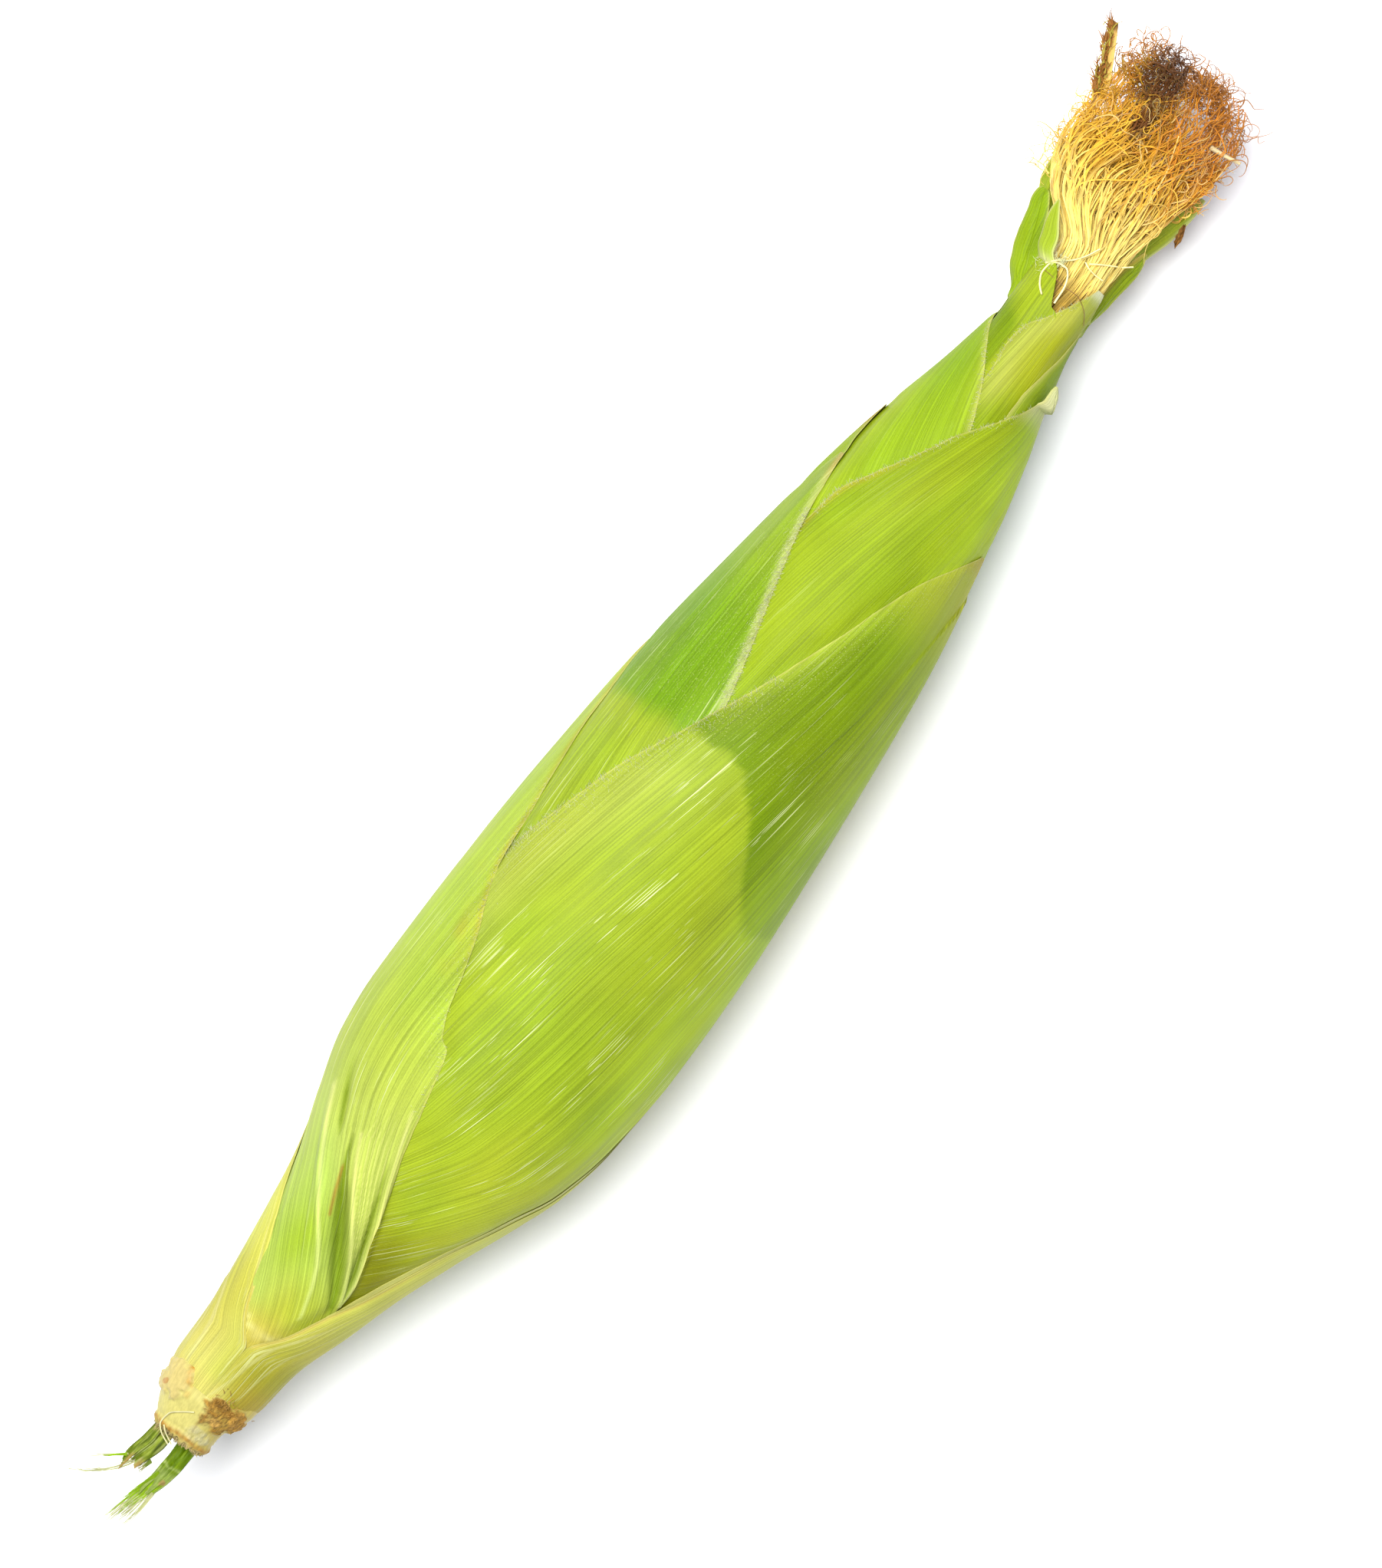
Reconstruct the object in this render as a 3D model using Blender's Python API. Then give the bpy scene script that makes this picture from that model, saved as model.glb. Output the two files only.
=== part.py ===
"""An ear of sweet corn lying in its husk, with its silk and the butt of its stalk.

Frame: +X runs along the ear from the butt to the silk, +Z is up, and the origin is the middle of the
small flat on the underside where the ear rests. Angles round the ear start at +Y and rise towards +Z,
so 90 degrees is the top line and 270 the line that it lies on. Lengths below are in millimetres.
"""

import math

import bmesh
import bpy
import numpy as np

MM = 0.001

LEAF_THICKNESS = 0.30
LAYER_PITCH = 1.00        # leaf plus the air under it
# A leaf stays down as far as the first number past the margin of one above it, and is back on the
# outside of the ear at the second: degrees round the ear, then distances along it.
SETTLE_ACROSS = (17.0, 52.0)
SETTLE_PAST_TIP = (8.0, 30.0)
SETTLE_BEFORE_BASE = (2.0, 8.0)
FLATTENING = 0.985        # height over width of the ear's section
MAX_RADIUS = 29.6
FLAT_FADE = 0.35          # how fast the resting flat rounds off from leaf to leaf inwards
LEAF_COLUMN_DEG = 18.0    # the turn between a leaf's columns of faces, where the ear is widest
MARGIN_TURN_DEG = 20.0    # the most that a leaf's margin turns round the ear from row to row
RING_SIDES = 24
WALL = 0.8                # the innermost husk, where it opens round the silk

# The ear's outside: (x, centre y, radius).
OUTLINE = [
    (-126.2, 6.2, 5.9),
    (-121.5, 6.9, 7.4),
    (-115.5, 6.6, 9.9),
    (-103.5, 5.9, 10.8),
    (-91.5, 4.6, 13.4),
    (-79.5, 3.5, 16.0),
    (-67.5, 2.2, 19.2),
    (-55.5, 1.6, 23.5),
    (-43.5, 1.2, 27.3),
    (-31.5, 0.7, 29.0),
    (-13.5, 0.1, 29.6),
    (4.5, 0.0, 29.3),
    (40.5, 0.0, 27.1),
    (76.5, -0.2, 23.0),
    (112.5, 0.4, 16.8),
    (124.5, 0.4, 13.8),
    (136.5, 0.8, 10.6),
    (148.5, 1.2, 8.3),
    (163.0, 1.6, 7.6),
]

# Height of the ear's centre line over what it lies on: (x, z).
CENTRE_HEIGHT = [
    (-126.2, 29.6),
    (-90.0, 29.4),
    (-45.0, 28.5),
    (-10.0, 28.1),
    (30.0, 27.0),
    (60.0, 26.3),
    (100.0, 25.4),
    (130.0, 24.6),
    (163.0, 23.4),
]

# Rows of faces that every leaf shares where the ear's outline bends.
STATIONS = [-112, -104, -96, -88, -79, -70, -57, -45, -31, -12, 15, 40, 65, 90, 112, 128, 142]

# Husk leaves from the innermost out. "margins" gives the leaf's two edges in degrees round the ear:
# (x, from, to), first at the leaf's base and last at the tip of its sheath. "blade" goes on past the
# sheath as a narrow leaf: (x, y, z, half width, angle of its outer face).
LEAVES = [
    {
        "name": "husk_leaf_13_dried_tip",
        "margins": [(-56, -75, 50), (112, -75, 45), (140, -68, 12), (152, -52, -16)],
        "blade": [
            (158, 9.8, 18.3, 2.6, -10),
            (165, 11.6, 18.6, 2.8, 30),
            (172, 14.6, 19.4, 2.3, 55),
            (178, 17.2, 20.6, 1.5, 65),
            (186, 19.6, 22.4, 0.9, 70),
            (194, 21.2, 24.2, 0.8, 70),
            (205, 25.0, 26.6, 0.6, 70),
        ],
    },
    {
        "name": "husk_leaf_12_cradle",
        "margins": [(-58, 120, 255), (112, 120, 255), (140, 135, 242), (154, 160, 215)],
        "blade": [
            (160, -4.6, 17.2, 2.6, 212),
            (167, -6.2, 15.6, 2.6, 190),
            (175, -7.2, 15.0, 2.2, 150),
            (182, -8.0, 15.2, 1.6, 130),
            (188, -8.7, 15.8, 0.5, 120),
        ],
    },
    {
        "name": "husk_leaf_11_flag",
        "margins": [(-62, -115, 32), (112, -115, 28), (132, -85, 14), (147, -32, 2)],
        "blade": [
            (151.5, 10.7, 22.3, 2.0, 10),
            (156, 11.5, 23.2, 2.4, 35),
            (161, 13.0, 23.9, 2.8, 52),
            (166, 14.9, 24.3, 2.5, 60),
            (170, 16.2, 24.4, 1.0, 60),
        ],
    },
    {
        "name": "husk_leaf_10_pale",
        "margins": [
            (-65, 60, 250),
            (70, 50, 250),
            (120, 62, 240),
            (134, 75, 228),
            (142, 69, 218),
            (146, 73, 213),
            (150, 92, 206),
            (154.5, 111, 190),
            (160.5, 138, 160),
        ],
    },
    {
        "name": "husk_leaf_09_neck",
        "margins": [
            (-68, 130, 340),
            (70, 125, 330),
            (120, 112, 300),
            (133, 116, 270),
            (141, 132, 240),
            (145.5, 150, 215),
            (151, 166, 190),
        ],
        "blade": [
            (156, -6.7, 21.6, 1.6, 170),
            (161, -6.9, 20.6, 1.9, 140),
            (167, -7.4, 19.6, 1.8, 130),
            (172, -8.2, 18.4, 1.0, 130),
            (178, -9.6, 17.2, 0.8, 150),
            (183, -10.4, 17.0, 0.6, 150),
        ],
    },
    {
        "name": "husk_leaf_08_shoulder",
        "margins": [
            (-71, -68, 110),
            (54, -68, 125),
            (105, -68, 110),
            (123, -60, 93),
            (132, -45, 76),
            (138, -27, 54),
            (145.5, -4, 8),
        ],
    },
    {
        "name": "husk_leaf_07_curled_tip",
        "margins": [
            (-76, 60, 260),
            (40, 28, 262),
            (90, 43, 255),
            (97.5, 46, 250),
            (105, 58, 243),
            (112.5, 72, 234),
            (120, 86, 225),
            (127.5, 108, 212),
            (135, 140, 195),
        ],
        "blade": [(139.5, -9.9, 29.0, 1.0, 165), (141.0, -11.2, 30.0, 0.8, 160)],
    },
    {
        "name": "husk_leaf_06_back",
        "margins": [(-81, -170, 20), (40, -165, 30), (90, -110, 30), (105, -60, 24), (118, -8, 12)],
    },
    {
        "name": "husk_leaf_05_dark",
        "margins": [
            (-86, -60, 110),
            (-30, -76, 108),
            (18, -70, 95),
            (52, -52, 77),
            (60, -45, 72),
            (75, -28, 59),
            (90, -8, 43),
            (97.5, 4, 35),
            (105, 18, 26),
        ],
    },
    {
        "name": "husk_leaf_04_broad",
        "margins": [
            (-91, 70, 240),
            (-46, 30, 258),
            (0, 35, 255),
            (15, 45, 250),
            (30, 56, 244),
            (45, 71, 236),
            (60, 85, 226),
            (75, 99, 214),
            (90, 116, 200),
            (100, 140, 188),
            (105, 163, 175),
        ],
    },
    {
        "name": "husk_leaf_03_folded",
        "margins": [
            (-102, -100, 128),
            (-88, -95, 128),
            (-81, -92, 116),
            (-73, -96, 102),
            (-63, -104, 92),
            (-54, -110, 85),
            (-34, -110, 71),
            (-15, -104, 55),
            (0, -92, 40),
            (15, -76, 32),
            (30, -55, 22),
            (43, -28, 11),
            (58, -14, -8),
        ],
    },
    {
        "name": "husk_leaf_02_under",
        "margins": [
            (-111, 100, 330),
            (-84, 130, 325),
            (-60, 153, 318),
            (-52, 159, 312),
            (-45, 169, 305),
            (-15, 180, 280),
            (20, 184, 240),
            (50, 189, 205),
            (62, 190, 195),
        ],
    },
    {
        "name": "husk_leaf_01_outer",
        "margins": [
            (-116, 92, 448),
            (-105, 102, 440),
            (-98, 115, 420),
            (-90, 125, 410),
            (-82, 137, 399),
            (-74, 145, 380),
            (-66, 151, 362),
            (-54, 163, 348),
            (-45, 174, 340),
            (-15, 184, 326),
            (20, 186, 312),
            (45, 187, 298),
            (62, 188, 272),
            (80, 189, 228),
            (94, 190, 197),
        ],
    },
]

# The butt of the stalk that the ear grew on, from its snapped end into the husk.
SHANK_ROWS = [-126.2, -124.5, -121.5, -118, -115.5, -112, -104, -96, -88, -79, -74]
SHANK_RADIUS_INSIDE = 8.6
SHANK_FULL_TO = -112         # past this x the stalk keeps inside the leaves that grow on it
SHANK_CLEARANCE = 0.35
SHANK_BARE_TO = -121         # past this x leaves lie over the stalk

# The innermost husk, closed round the ear and open at the neck, where the silk comes out.
INNER_HUSK_START = -72.0
START_DEPTH = 0.62           # how far in its blunt first end lies, as a share of the ear's radius
NECK_ROW = 147.0
NECK_MOUTH = [(0, 157.5), (30, 159.5), (48, 160.5), (66, 158.5), (90, 152.4), (130, 149.5),
              (200, 151), (290, 153), (360, 157.5)]     # (degrees round the ear, x of the mouth's rim)
POCKET_START = 144.0
POCKET_END = 134.0
POCKET_RADIUS = 3.9
POCKET_TAPER = 0.8
# The pointed blade of the innermost husk, which stands off its rim beside the silk.
RIM_BLADE_ANGLE = 43.0
RIM_BLADE_SPREAD = 26.0
RIM_BLADE_LENGTH = 9.5
RIM_BLADE_LEAN_Y = 5.2
RIM_BLADE_LEAN_Z = 2.2

# The bundle of silk: (x, y, z, half width, half height).
SILK = [
    (138, 1.0, 24.3, 1.7, 1.7),
    (148, 1.2, 23.8, 2.1, 2.1),
    (156, 1.3, 23.0, 2.7, 2.6),
    (164, 2.2, 22.0, 3.8, 3.5),
    (172, 3.8, 22.6, 7.2, 5.4),
    (180, 5.2, 23.8, 11.0, 6.6),
    (188, 5.6, 23.4, 12.6, 7.2),
    (196, 5.8, 22.6, 12.4, 8.2),
    (203, 5.8, 22.0, 10.0, 7.0),
    (208, 5.6, 21.6, 5.6, 4.6),
]

# Strips of sheath torn off with the stalk: (x, y, z, half width, half thickness).
TORN_STRIPS = {
    "torn_sheath_upper": [
        (-126.6, 10.2, 32.6, 1.5, 0.8),
        (-130.5, 10.0, 33.2, 1.7, 0.8),
        (-134.8, 10.7, 33.6, 1.6, 0.7),
        (-139.5, 14.5, 33.2, 0.7, 0.4),
        (-144.6, 20.6, 32.2, 0.4, 0.3),
    ],
    "torn_sheath_lower": [
        (-126.6, 3.4, 29.8, 1.8, 0.6),
        (-131.0, 3.6, 29.6, 1.8, 0.5),
        (-135.3, 4.1, 28.8, 1.75, 0.5),
        (-141.5, 5.8, 26.6, 1.6, 0.4),
        (-149.6, 7.8, 23.2, 0.6, 0.3),
    ],
}

GREEN = (0.33, 0.50, 0.06)
COLOURS = {
    "inner_husk": (0.42, 0.54, 0.10),
    "shank": (0.72, 0.62, 0.22),
    "silk": (0.68, 0.42, 0.10),
    "torn_sheath": (0.16, 0.28, 0.03),
}


def smooth(table, column, at):
    """A table's column at the places asked for, on a curve that doesn't overshoot its points."""
    xs = np.array([row[0] for row in table], float)
    ys = np.array([row[column] for row in table], float)
    at = np.clip(np.asarray(at, float), xs[0], xs[-1])
    step = np.diff(xs)
    slope = np.diff(ys) / step
    lean = np.zeros(len(xs))
    lean[0] = slope[0]
    lean[-1] = slope[-1]
    product = slope[:-1] * slope[1:]
    safe = np.where(product > 0, slope[:-1] + slope[1:], 1.0)
    lean[1:-1] = np.where(product > 0, 2 * product / safe, 0.0)
    i = np.clip(np.searchsorted(xs, at, side="right") - 1, 0, len(xs) - 2)
    t = (at - xs[i]) / step[i]
    return (
        (1 + 2 * t) * (1 - t) ** 2 * ys[i]
        + t * (1 - t) ** 2 * step[i] * lean[i]
        + t * t * (3 - 2 * t) * ys[i + 1]
        + t * t * (t - 1) * step[i] * lean[i + 1]
    )


def settled(distance, reach):
    """1 up to the nearer reach, easing to 0 at the farther."""
    share = np.clip((distance - reach[0]) / (reach[1] - reach[0]), 0, 1)
    return 1 - share * share * (3 - 2 * share)


def covered(leaf, x, angle):
    """1 under a leaf, falling to 0 away from its margins."""
    margins = leaf["margins"]
    low = smooth(margins, 1, x)
    high = smooth(margins, 2, x)
    off = np.abs((angle - (low + high) / 2 + 180) % 360 - 180) - (high - low) / 2
    return (
        settled(off, SETTLE_ACROSS)
        * settled(x - margins[-1][0], SETTLE_PAST_TIP)
        * settled(margins[0][0] - x, SETTLE_BEFORE_BASE)
    )


def depth_under(leaves, x, angle):
    """How deep the surface under these leaves lies below the ear's outside."""
    x, angle = np.broadcast_arrays(np.asarray(x, float), np.asarray(angle, float))
    return LAYER_PITCH * sum((covered(leaf, x, angle) for leaf in leaves), np.zeros(x.shape))


def ear_point(x, angle, depth):
    """Points this deep under the ear's outside, which is pressed flat where it rests."""
    radius = smooth(OUTLINE, 2, x) - depth
    turn = np.radians(angle)
    y = smooth(OUTLINE, 1, x) + radius * np.cos(turn)
    above = smooth(CENTRE_HEIGHT, 1, x) + FLATTENING * radius * np.sin(turn) - depth
    z = depth + (above + np.hypot(above, FLAT_FADE * depth)) / 2
    return np.stack(np.broadcast_arrays(np.asarray(x, float), y, z), axis=-1)


def mesh_object(name, points, faces, colour):
    """A closed mesh as a named object, its normals outwards and its material plain."""
    shape = bmesh.new()
    corners = [shape.verts.new(tuple(float(c) * MM for c in p)) for p in points]
    for face in faces:
        shape.faces.new([corners[i] for i in face])
    bmesh.ops.triangulate(shape, faces=shape.faces[:], quad_method="SHORT_EDGE")
    bmesh.ops.recalc_face_normals(shape, faces=shape.faces[:])
    mesh = bpy.data.meshes.new(name)
    shape.to_mesh(mesh)
    shape.free()
    mesh.shade_smooth()
    mesh.set_sharp_from_angle(angle=math.radians(50))
    material = bpy.data.materials.new(name)
    material.use_nodes = True
    shader = material.node_tree.nodes["Principled BSDF"]
    shader.inputs["Base Color"].default_value = (*colour, 1)
    shader.inputs["Roughness"].default_value = 0.5
    shader.inputs["Metallic"].default_value = 0.0
    mesh.materials.append(material)
    made = bpy.data.objects.new(name, mesh)
    bpy.context.scene.collection.objects.link(made)
    return made


def grid_shell(outer, inner):
    """Points and faces of a thin closed shell between two grids of the same size."""
    rows, columns = outer.shape[:2]
    points = np.concatenate([outer.reshape(-1, 3), inner.reshape(-1, 3)])
    far = rows * columns
    faces = []
    for i in range(rows - 1):
        for j in range(columns - 1):
            a = i * columns + j
            faces.append((a, a + 1, a + columns + 1, a + columns))
            faces.append((far + a, far + a + columns, far + a + columns + 1, far + a + 1))
    border = [(0, j) for j in range(columns - 1)]
    border += [(i, columns - 1) for i in range(rows - 1)]
    border += [(rows - 1, j) for j in range(columns - 1, 0, -1)]
    border += [(i, 0) for i in range(rows - 1, 0, -1)]
    rim = [i * columns + j for i, j in border]
    for a, b in zip(rim, rim[1:] + rim[:1]):
        faces.append((b, a, far + a, far + b))
    return points, faces


def tube(rings):
    """Points and faces of a closed solid through rings of points, with a flat cap at each end."""
    count, sides = rings.shape[:2]
    faces = [tuple(range(sides)), tuple((count - 1) * sides + j for j in reversed(range(sides)))]
    for i in range(count - 1):
        for j in range(sides):
            k = (j + 1) % sides
            faces.append((i * sides + j, (i + 1) * sides + j, (i + 1) * sides + k, i * sides + k))
    return rings.reshape(-1, 3), faces


def leaf_rows(leaf):
    """x of each row of the sheath: its base, the shared stations, and more where its margins turn."""
    margins = leaf["margins"]
    base, tip = margins[0][0], margins[-1][0]
    rows = [base] + [x for x in STATIONS if base + 3 < x < tip - 3] + [tip]
    full = [float(base)]
    for start, end in zip(rows, rows[1:]):
        turn = max(abs(smooth(margins, k, end) - smooth(margins, k, start)) for k in (1, 2))
        turn *= math.sqrt(smooth(OUTLINE, 2, start) / MAX_RADIUS)
        parts = max(1, math.ceil(turn / MARGIN_TURN_DEG))
        full += [start + (end - start) * (k + 1) / parts for k in range(parts)]
    return np.array(full)


def blade_grid(stations, across, thickness):
    """The two faces of a narrow blade through its stations."""
    outer, inner = [], []
    for x, y, z, half_width, face_deg in stations:
        turn = math.radians(face_deg)
        normal = np.array([0.0, math.cos(turn), math.sin(turn)])
        side = np.array([0.0, -math.sin(turn), math.cos(turn)])
        row = np.array([x, y, z]) + np.outer(across * half_width, side)
        outer.append(row)
        inner.append(row - normal * thickness)
    return np.array(outer), np.array(inner)


def husk_leaf(leaf, above):
    """One leaf of the husk, lying under the leaves above it."""
    rows = leaf_rows(leaf)
    low = smooth(leaf["margins"], 1, rows)
    high = smooth(leaf["margins"], 2, rows)
    turn = (high - low) * np.sqrt(smooth(OUTLINE, 2, rows) / MAX_RADIUS)
    columns = int(np.ceil(turn.max() / LEAF_COLUMN_DEG)) + 1
    across = np.linspace(-1, 1, columns)
    angle = (low + high)[:, None] / 2 + (high - low)[:, None] / 2 * across
    x = np.broadcast_to(rows[:, None], angle.shape)
    depth = depth_under(above, x, angle)
    outer = ear_point(x, angle, depth)
    inner = ear_point(x, angle, depth + LEAF_THICKNESS)
    if "blade" in leaf:
        blade_outer, blade_inner = blade_grid(leaf["blade"], across, LEAF_THICKNESS)
        outer = np.concatenate([outer, blade_outer])
        inner = np.concatenate([inner, blade_inner])
    return mesh_object(leaf["name"], *grid_shell(outer, inner), GREEN)


def inner_husk():
    """The innermost husk closed round the ear: one solid, with a pocket for the silk at its neck."""
    angle = np.arange(RING_SIDES) * 360 / RING_SIDES
    rim = smooth(NECK_MOUTH, 1, angle)
    rings = []
    rows = [INNER_HUSK_START + 1.0] + [x for x in STATIONS if x > INNER_HUSK_START + 4] + [NECK_ROW]
    for x in rows:
        row = np.full(RING_SIDES, float(x))
        rings.append(ear_point(row, angle, depth_under(LEAVES, row, angle)))
    depth = depth_under(LEAVES, rim, angle)
    mouth = ear_point(rim, angle, depth)
    mouth_inside = ear_point(rim, angle, depth + WALL)
    near = np.exp(-(((angle - RIM_BLADE_ANGLE) / RIM_BLADE_SPREAD) ** 2) * 3)
    point = np.outer(near, (RIM_BLADE_LENGTH, RIM_BLADE_LEAN_Y, RIM_BLADE_LEAN_Z))
    rings += [mouth, mouth + point, mouth_inside + point, mouth_inside]
    turn = np.radians(angle)
    for x, share in ((POCKET_START, 1.0), (POCKET_END, POCKET_TAPER)):
        ring = np.stack(
            [
                np.full(RING_SIDES, x),
                smooth(OUTLINE, 1, x) + share * POCKET_RADIUS * np.cos(turn),
                smooth(CENTRE_HEIGHT, 1, x) + share * POCKET_RADIUS * np.sin(turn),
            ],
            axis=-1,
        )
        rings.append(ring)
    start = ear_point(
        np.full(RING_SIDES, INNER_HUSK_START), angle, smooth(OUTLINE, 2, INNER_HUSK_START) * START_DEPTH
    )
    rings.insert(0, start)
    return mesh_object("inner_husk", *tube(np.array(rings)), COLOURS["inner_husk"])


def shank():
    """The snapped butt of the stalk, thickening to the ring where the first leaf grew."""
    angle = np.arange(RING_SIDES) * 360 / RING_SIDES
    rings = []
    for x in SHANK_ROWS:
        row = np.full(RING_SIDES, float(x))
        radius = smooth(OUTLINE, 2, x)
        depth = depth_under(LEAVES, row, angle) + SHANK_CLEARANCE * (x > SHANK_BARE_TO)
        if x > SHANK_FULL_TO:
            depth = np.maximum(depth, radius - SHANK_RADIUS_INSIDE)
        rings.append(ear_point(row, angle, depth))
    return mesh_object("shank", *tube(np.array(rings)), COLOURS["shank"])


def oval_tube(stations, sides):
    turn = np.arange(sides) * 2 * math.pi / sides
    rings = [
        np.stack(
            [np.full(sides, x), y + wide * np.cos(turn), z + high * np.sin(turn)], axis=-1
        )
        for x, y, z, wide, high in stations
    ]
    return tube(np.array(rings))


def main():
    for old in list(bpy.data.objects):
        bpy.data.objects.remove(old)
    for number, leaf in enumerate(LEAVES):
        husk_leaf(leaf, LEAVES[number + 1:])
    inner_husk()
    shank()
    mesh_object("silk", *oval_tube(SILK, 16), COLOURS["silk"])
    for name, stations in TORN_STRIPS.items():
        mesh_object(name, *oval_tube(stations, 8), COLOURS["torn_sheath"])


main()
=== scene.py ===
"""The looks of the corn ear: veined husk leaves, silk threads, scarred stalk butt, floor, light, camera.

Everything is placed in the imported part's own frame: +X from the butt to the silk, +Z up, the origin on
the resting flat. Angles round the ear start at +Y and rise towards +Z, in degrees. Lengths are in
millimetres until a mesh is made.
"""

import math

import bpy
import numpy as np
from mathutils import Matrix, Vector


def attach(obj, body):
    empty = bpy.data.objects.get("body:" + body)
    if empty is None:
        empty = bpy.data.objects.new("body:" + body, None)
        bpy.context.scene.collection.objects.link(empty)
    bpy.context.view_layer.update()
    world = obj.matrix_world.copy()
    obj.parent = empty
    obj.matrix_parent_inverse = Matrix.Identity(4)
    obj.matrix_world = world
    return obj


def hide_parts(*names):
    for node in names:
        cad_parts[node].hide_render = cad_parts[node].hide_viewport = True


MM = 0.001

# ---------------------------------------------------------------- the ear's outside, as in the part

# (x, centre y, radius)
OUTLINE = [
    (-126.2, 6.2, 5.9), (-121.5, 6.9, 7.4), (-115.5, 6.6, 9.9), (-103.5, 5.9, 10.8), (-91.5, 4.6, 13.4),
    (-79.5, 3.5, 16.0), (-67.5, 2.2, 19.2), (-55.5, 1.6, 23.5), (-43.5, 1.2, 27.3), (-31.5, 0.7, 29.0),
    (-13.5, 0.1, 29.6), (4.5, 0.0, 29.3), (40.5, 0.0, 27.1), (76.5, -0.2, 23.0), (112.5, 0.4, 16.8),
    (124.5, 0.4, 13.8), (136.5, 0.8, 10.6), (148.5, 1.2, 8.3), (163.0, 1.6, 7.6),
]
CENTRE_HEIGHT = [
    (-126.2, 29.6), (-90.0, 29.4), (-45.0, 28.5), (-10.0, 28.1), (30.0, 27.0), (60.0, 26.3), (100.0, 25.4),
    (130.0, 24.6), (163.0, 23.4),
]
FLATTENING = 0.985
FULL_RADIUS = 29.0

# Folds of the outer leaves near the butt, seen from above: (x, y, half width, height).
FOLDS = {
    "ridge over the fold": [
        (-92.5, 1.0, 0.6, 0.10), (-87.0, 2.5, 0.7, 0.45), (-82.5, 4.3, 0.8, 0.75), (-78.7, 6.8, 0.8, 0.90),
        (-75.5, 9.2, 0.8, 0.95), (-72.0, 11.9, 0.8, 0.95), (-67.5, 14.9, 0.8, 0.90),
        (-63.0, 17.5, 0.8, 0.80), (-58.5, 20.0, 0.8, 0.60), (-52.5, 22.8, 0.9, 0.15),
    ],
    "fold": [
        (-89.0, -3.2, 0.5, -0.30), (-84.5, -1.5, 1.0, -1.40), (-80.5, 0.8, 1.5, -2.20),
        (-76.5, 3.6, 1.6, -2.60), (-72.5, 6.4, 1.4, -2.50), (-68.5, 8.9, 1.0, -2.10),
        (-65.0, 10.9, 0.6, -1.40), (-61.5, 12.6, 0.4, -0.80), (-57.7, 14.0, 0.3, -0.20),
    ],
    "crease past the fold": [
        (-59.5, 16.2, 0.4, -0.25), (-57.0, 17.6, 0.7, -0.75), (-53.5, 19.3, 0.8, -0.80),
        (-49.5, 21.2, 0.9, -0.40), (-45.5, 22.6, 0.9, -0.05),
    ],
    "ridge under the fold": [
        (-88.0, -4.3, 0.4, 0.30), (-83.5, -2.9, 0.6, 0.70), (-78.5, -0.4, 0.7, 0.95),
        (-74.5, 1.9, 0.8, 1.00), (-70.5, 4.6, 0.8, 1.00), (-66.5, 7.3, 0.7, 0.85), (-61.5, 10.4, 0.6, 0.50),
        (-56.5, 12.8, 0.6, 0.15),
    ],
    "ridge along the margin": [
        (-86.5, -4.3, 0.4, 0.35), (-80.5, -3.7, 0.5, 0.75), (-74.5, -2.1, 0.55, 0.95),
        (-68.5, -0.2, 0.6, 1.00), (-61.5, 2.4, 0.6, 0.85), (-54.5, 4.9, 0.6, 0.55), (-47.5, 7.2, 0.6, 0.15),
    ],
    "groove over it": [
        (-84.5, -3.7, 0.3, -0.30), (-78.5, -2.0, 0.5, -0.80), (-72.5, 0.0, 0.6, -0.90),
        (-65.5, 2.5, 0.6, -0.60), (-58.5, 4.9, 0.6, -0.15),
    ],
    "bulge in the notch": [
        (-99.1, 1.9, 0.5, 0.10), (-100.1, 3.6, 0.7, 0.55), (-100.5, 6.0, 0.7, 0.60),
        (-99.9, 8.3, 0.6, 0.35), (-98.5, 9.6, 0.5, 0.10),
    ],
    "hollow beside the bulge": [
        (-97.5, 2.6, 0.9, -0.15), (-97.9, 6.0, 1.1, -0.30), (-96.9, 9.0, 0.9, -0.10),
    ],
}
PLEATS = 8
PLEAT_HEIGHT = 0.13
PLEAT_SPAN = (-82, -74, -60, -44)    # x: none, full, full, none

# ---------------------------------------------------------------- how the leaves lie on each other

LAYER_PITCH = 0.36
LEAF_THICKNESS = 0.20
EDGE_THICKNESS = 0.07
SETTLE_ACROSS = (0.4, 3.6)
SETTLE_PAST_TIP = (0.3, 4.0)
SETTLE_BEFORE_BASE = (0.3, 2.5)
BASE_SINK = 0.40             # a leaf's base grows out of what is under it over this depth
BASE_SINK_LENGTH = 4.0
DIP_WIDTH = 1.3              # the strip along a margin that bends down to the leaf below
FINE_COLUMN = 0.34
COARSE_COLUMN = 5.0
FINE_ROW = 1.1
FOLD_ROW = 0.5
COARSE_ROW = 6.0
BLADE_ROW = 0.6
BLADE_THICKNESS = 0.22
MOST_POINTS = 46000          # on each side of a leaf
RIB_SPACING = 1.05
RIB_HEIGHT = 0.018
HIDDEN_SINK = 2.8            # how much deeper the hidden, coarse part of a leaf lies under the folds

# ---------------------------------------------------------------- colours, linear

PALE_GREEN = np.array((0.300, 0.385, 0.026))
DARK_GREEN = np.array((0.125, 0.240, 0.002))
OLIVE = np.array((0.235, 0.250, 0.002))
STRAW = np.array((0.400, 0.350, 0.050))
CREAM = np.array((0.560, 0.560, 0.230))
RUST = np.array((0.330, 0.190, 0.030))
BROWN = np.array((0.150, 0.060, 0.012))

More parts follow.
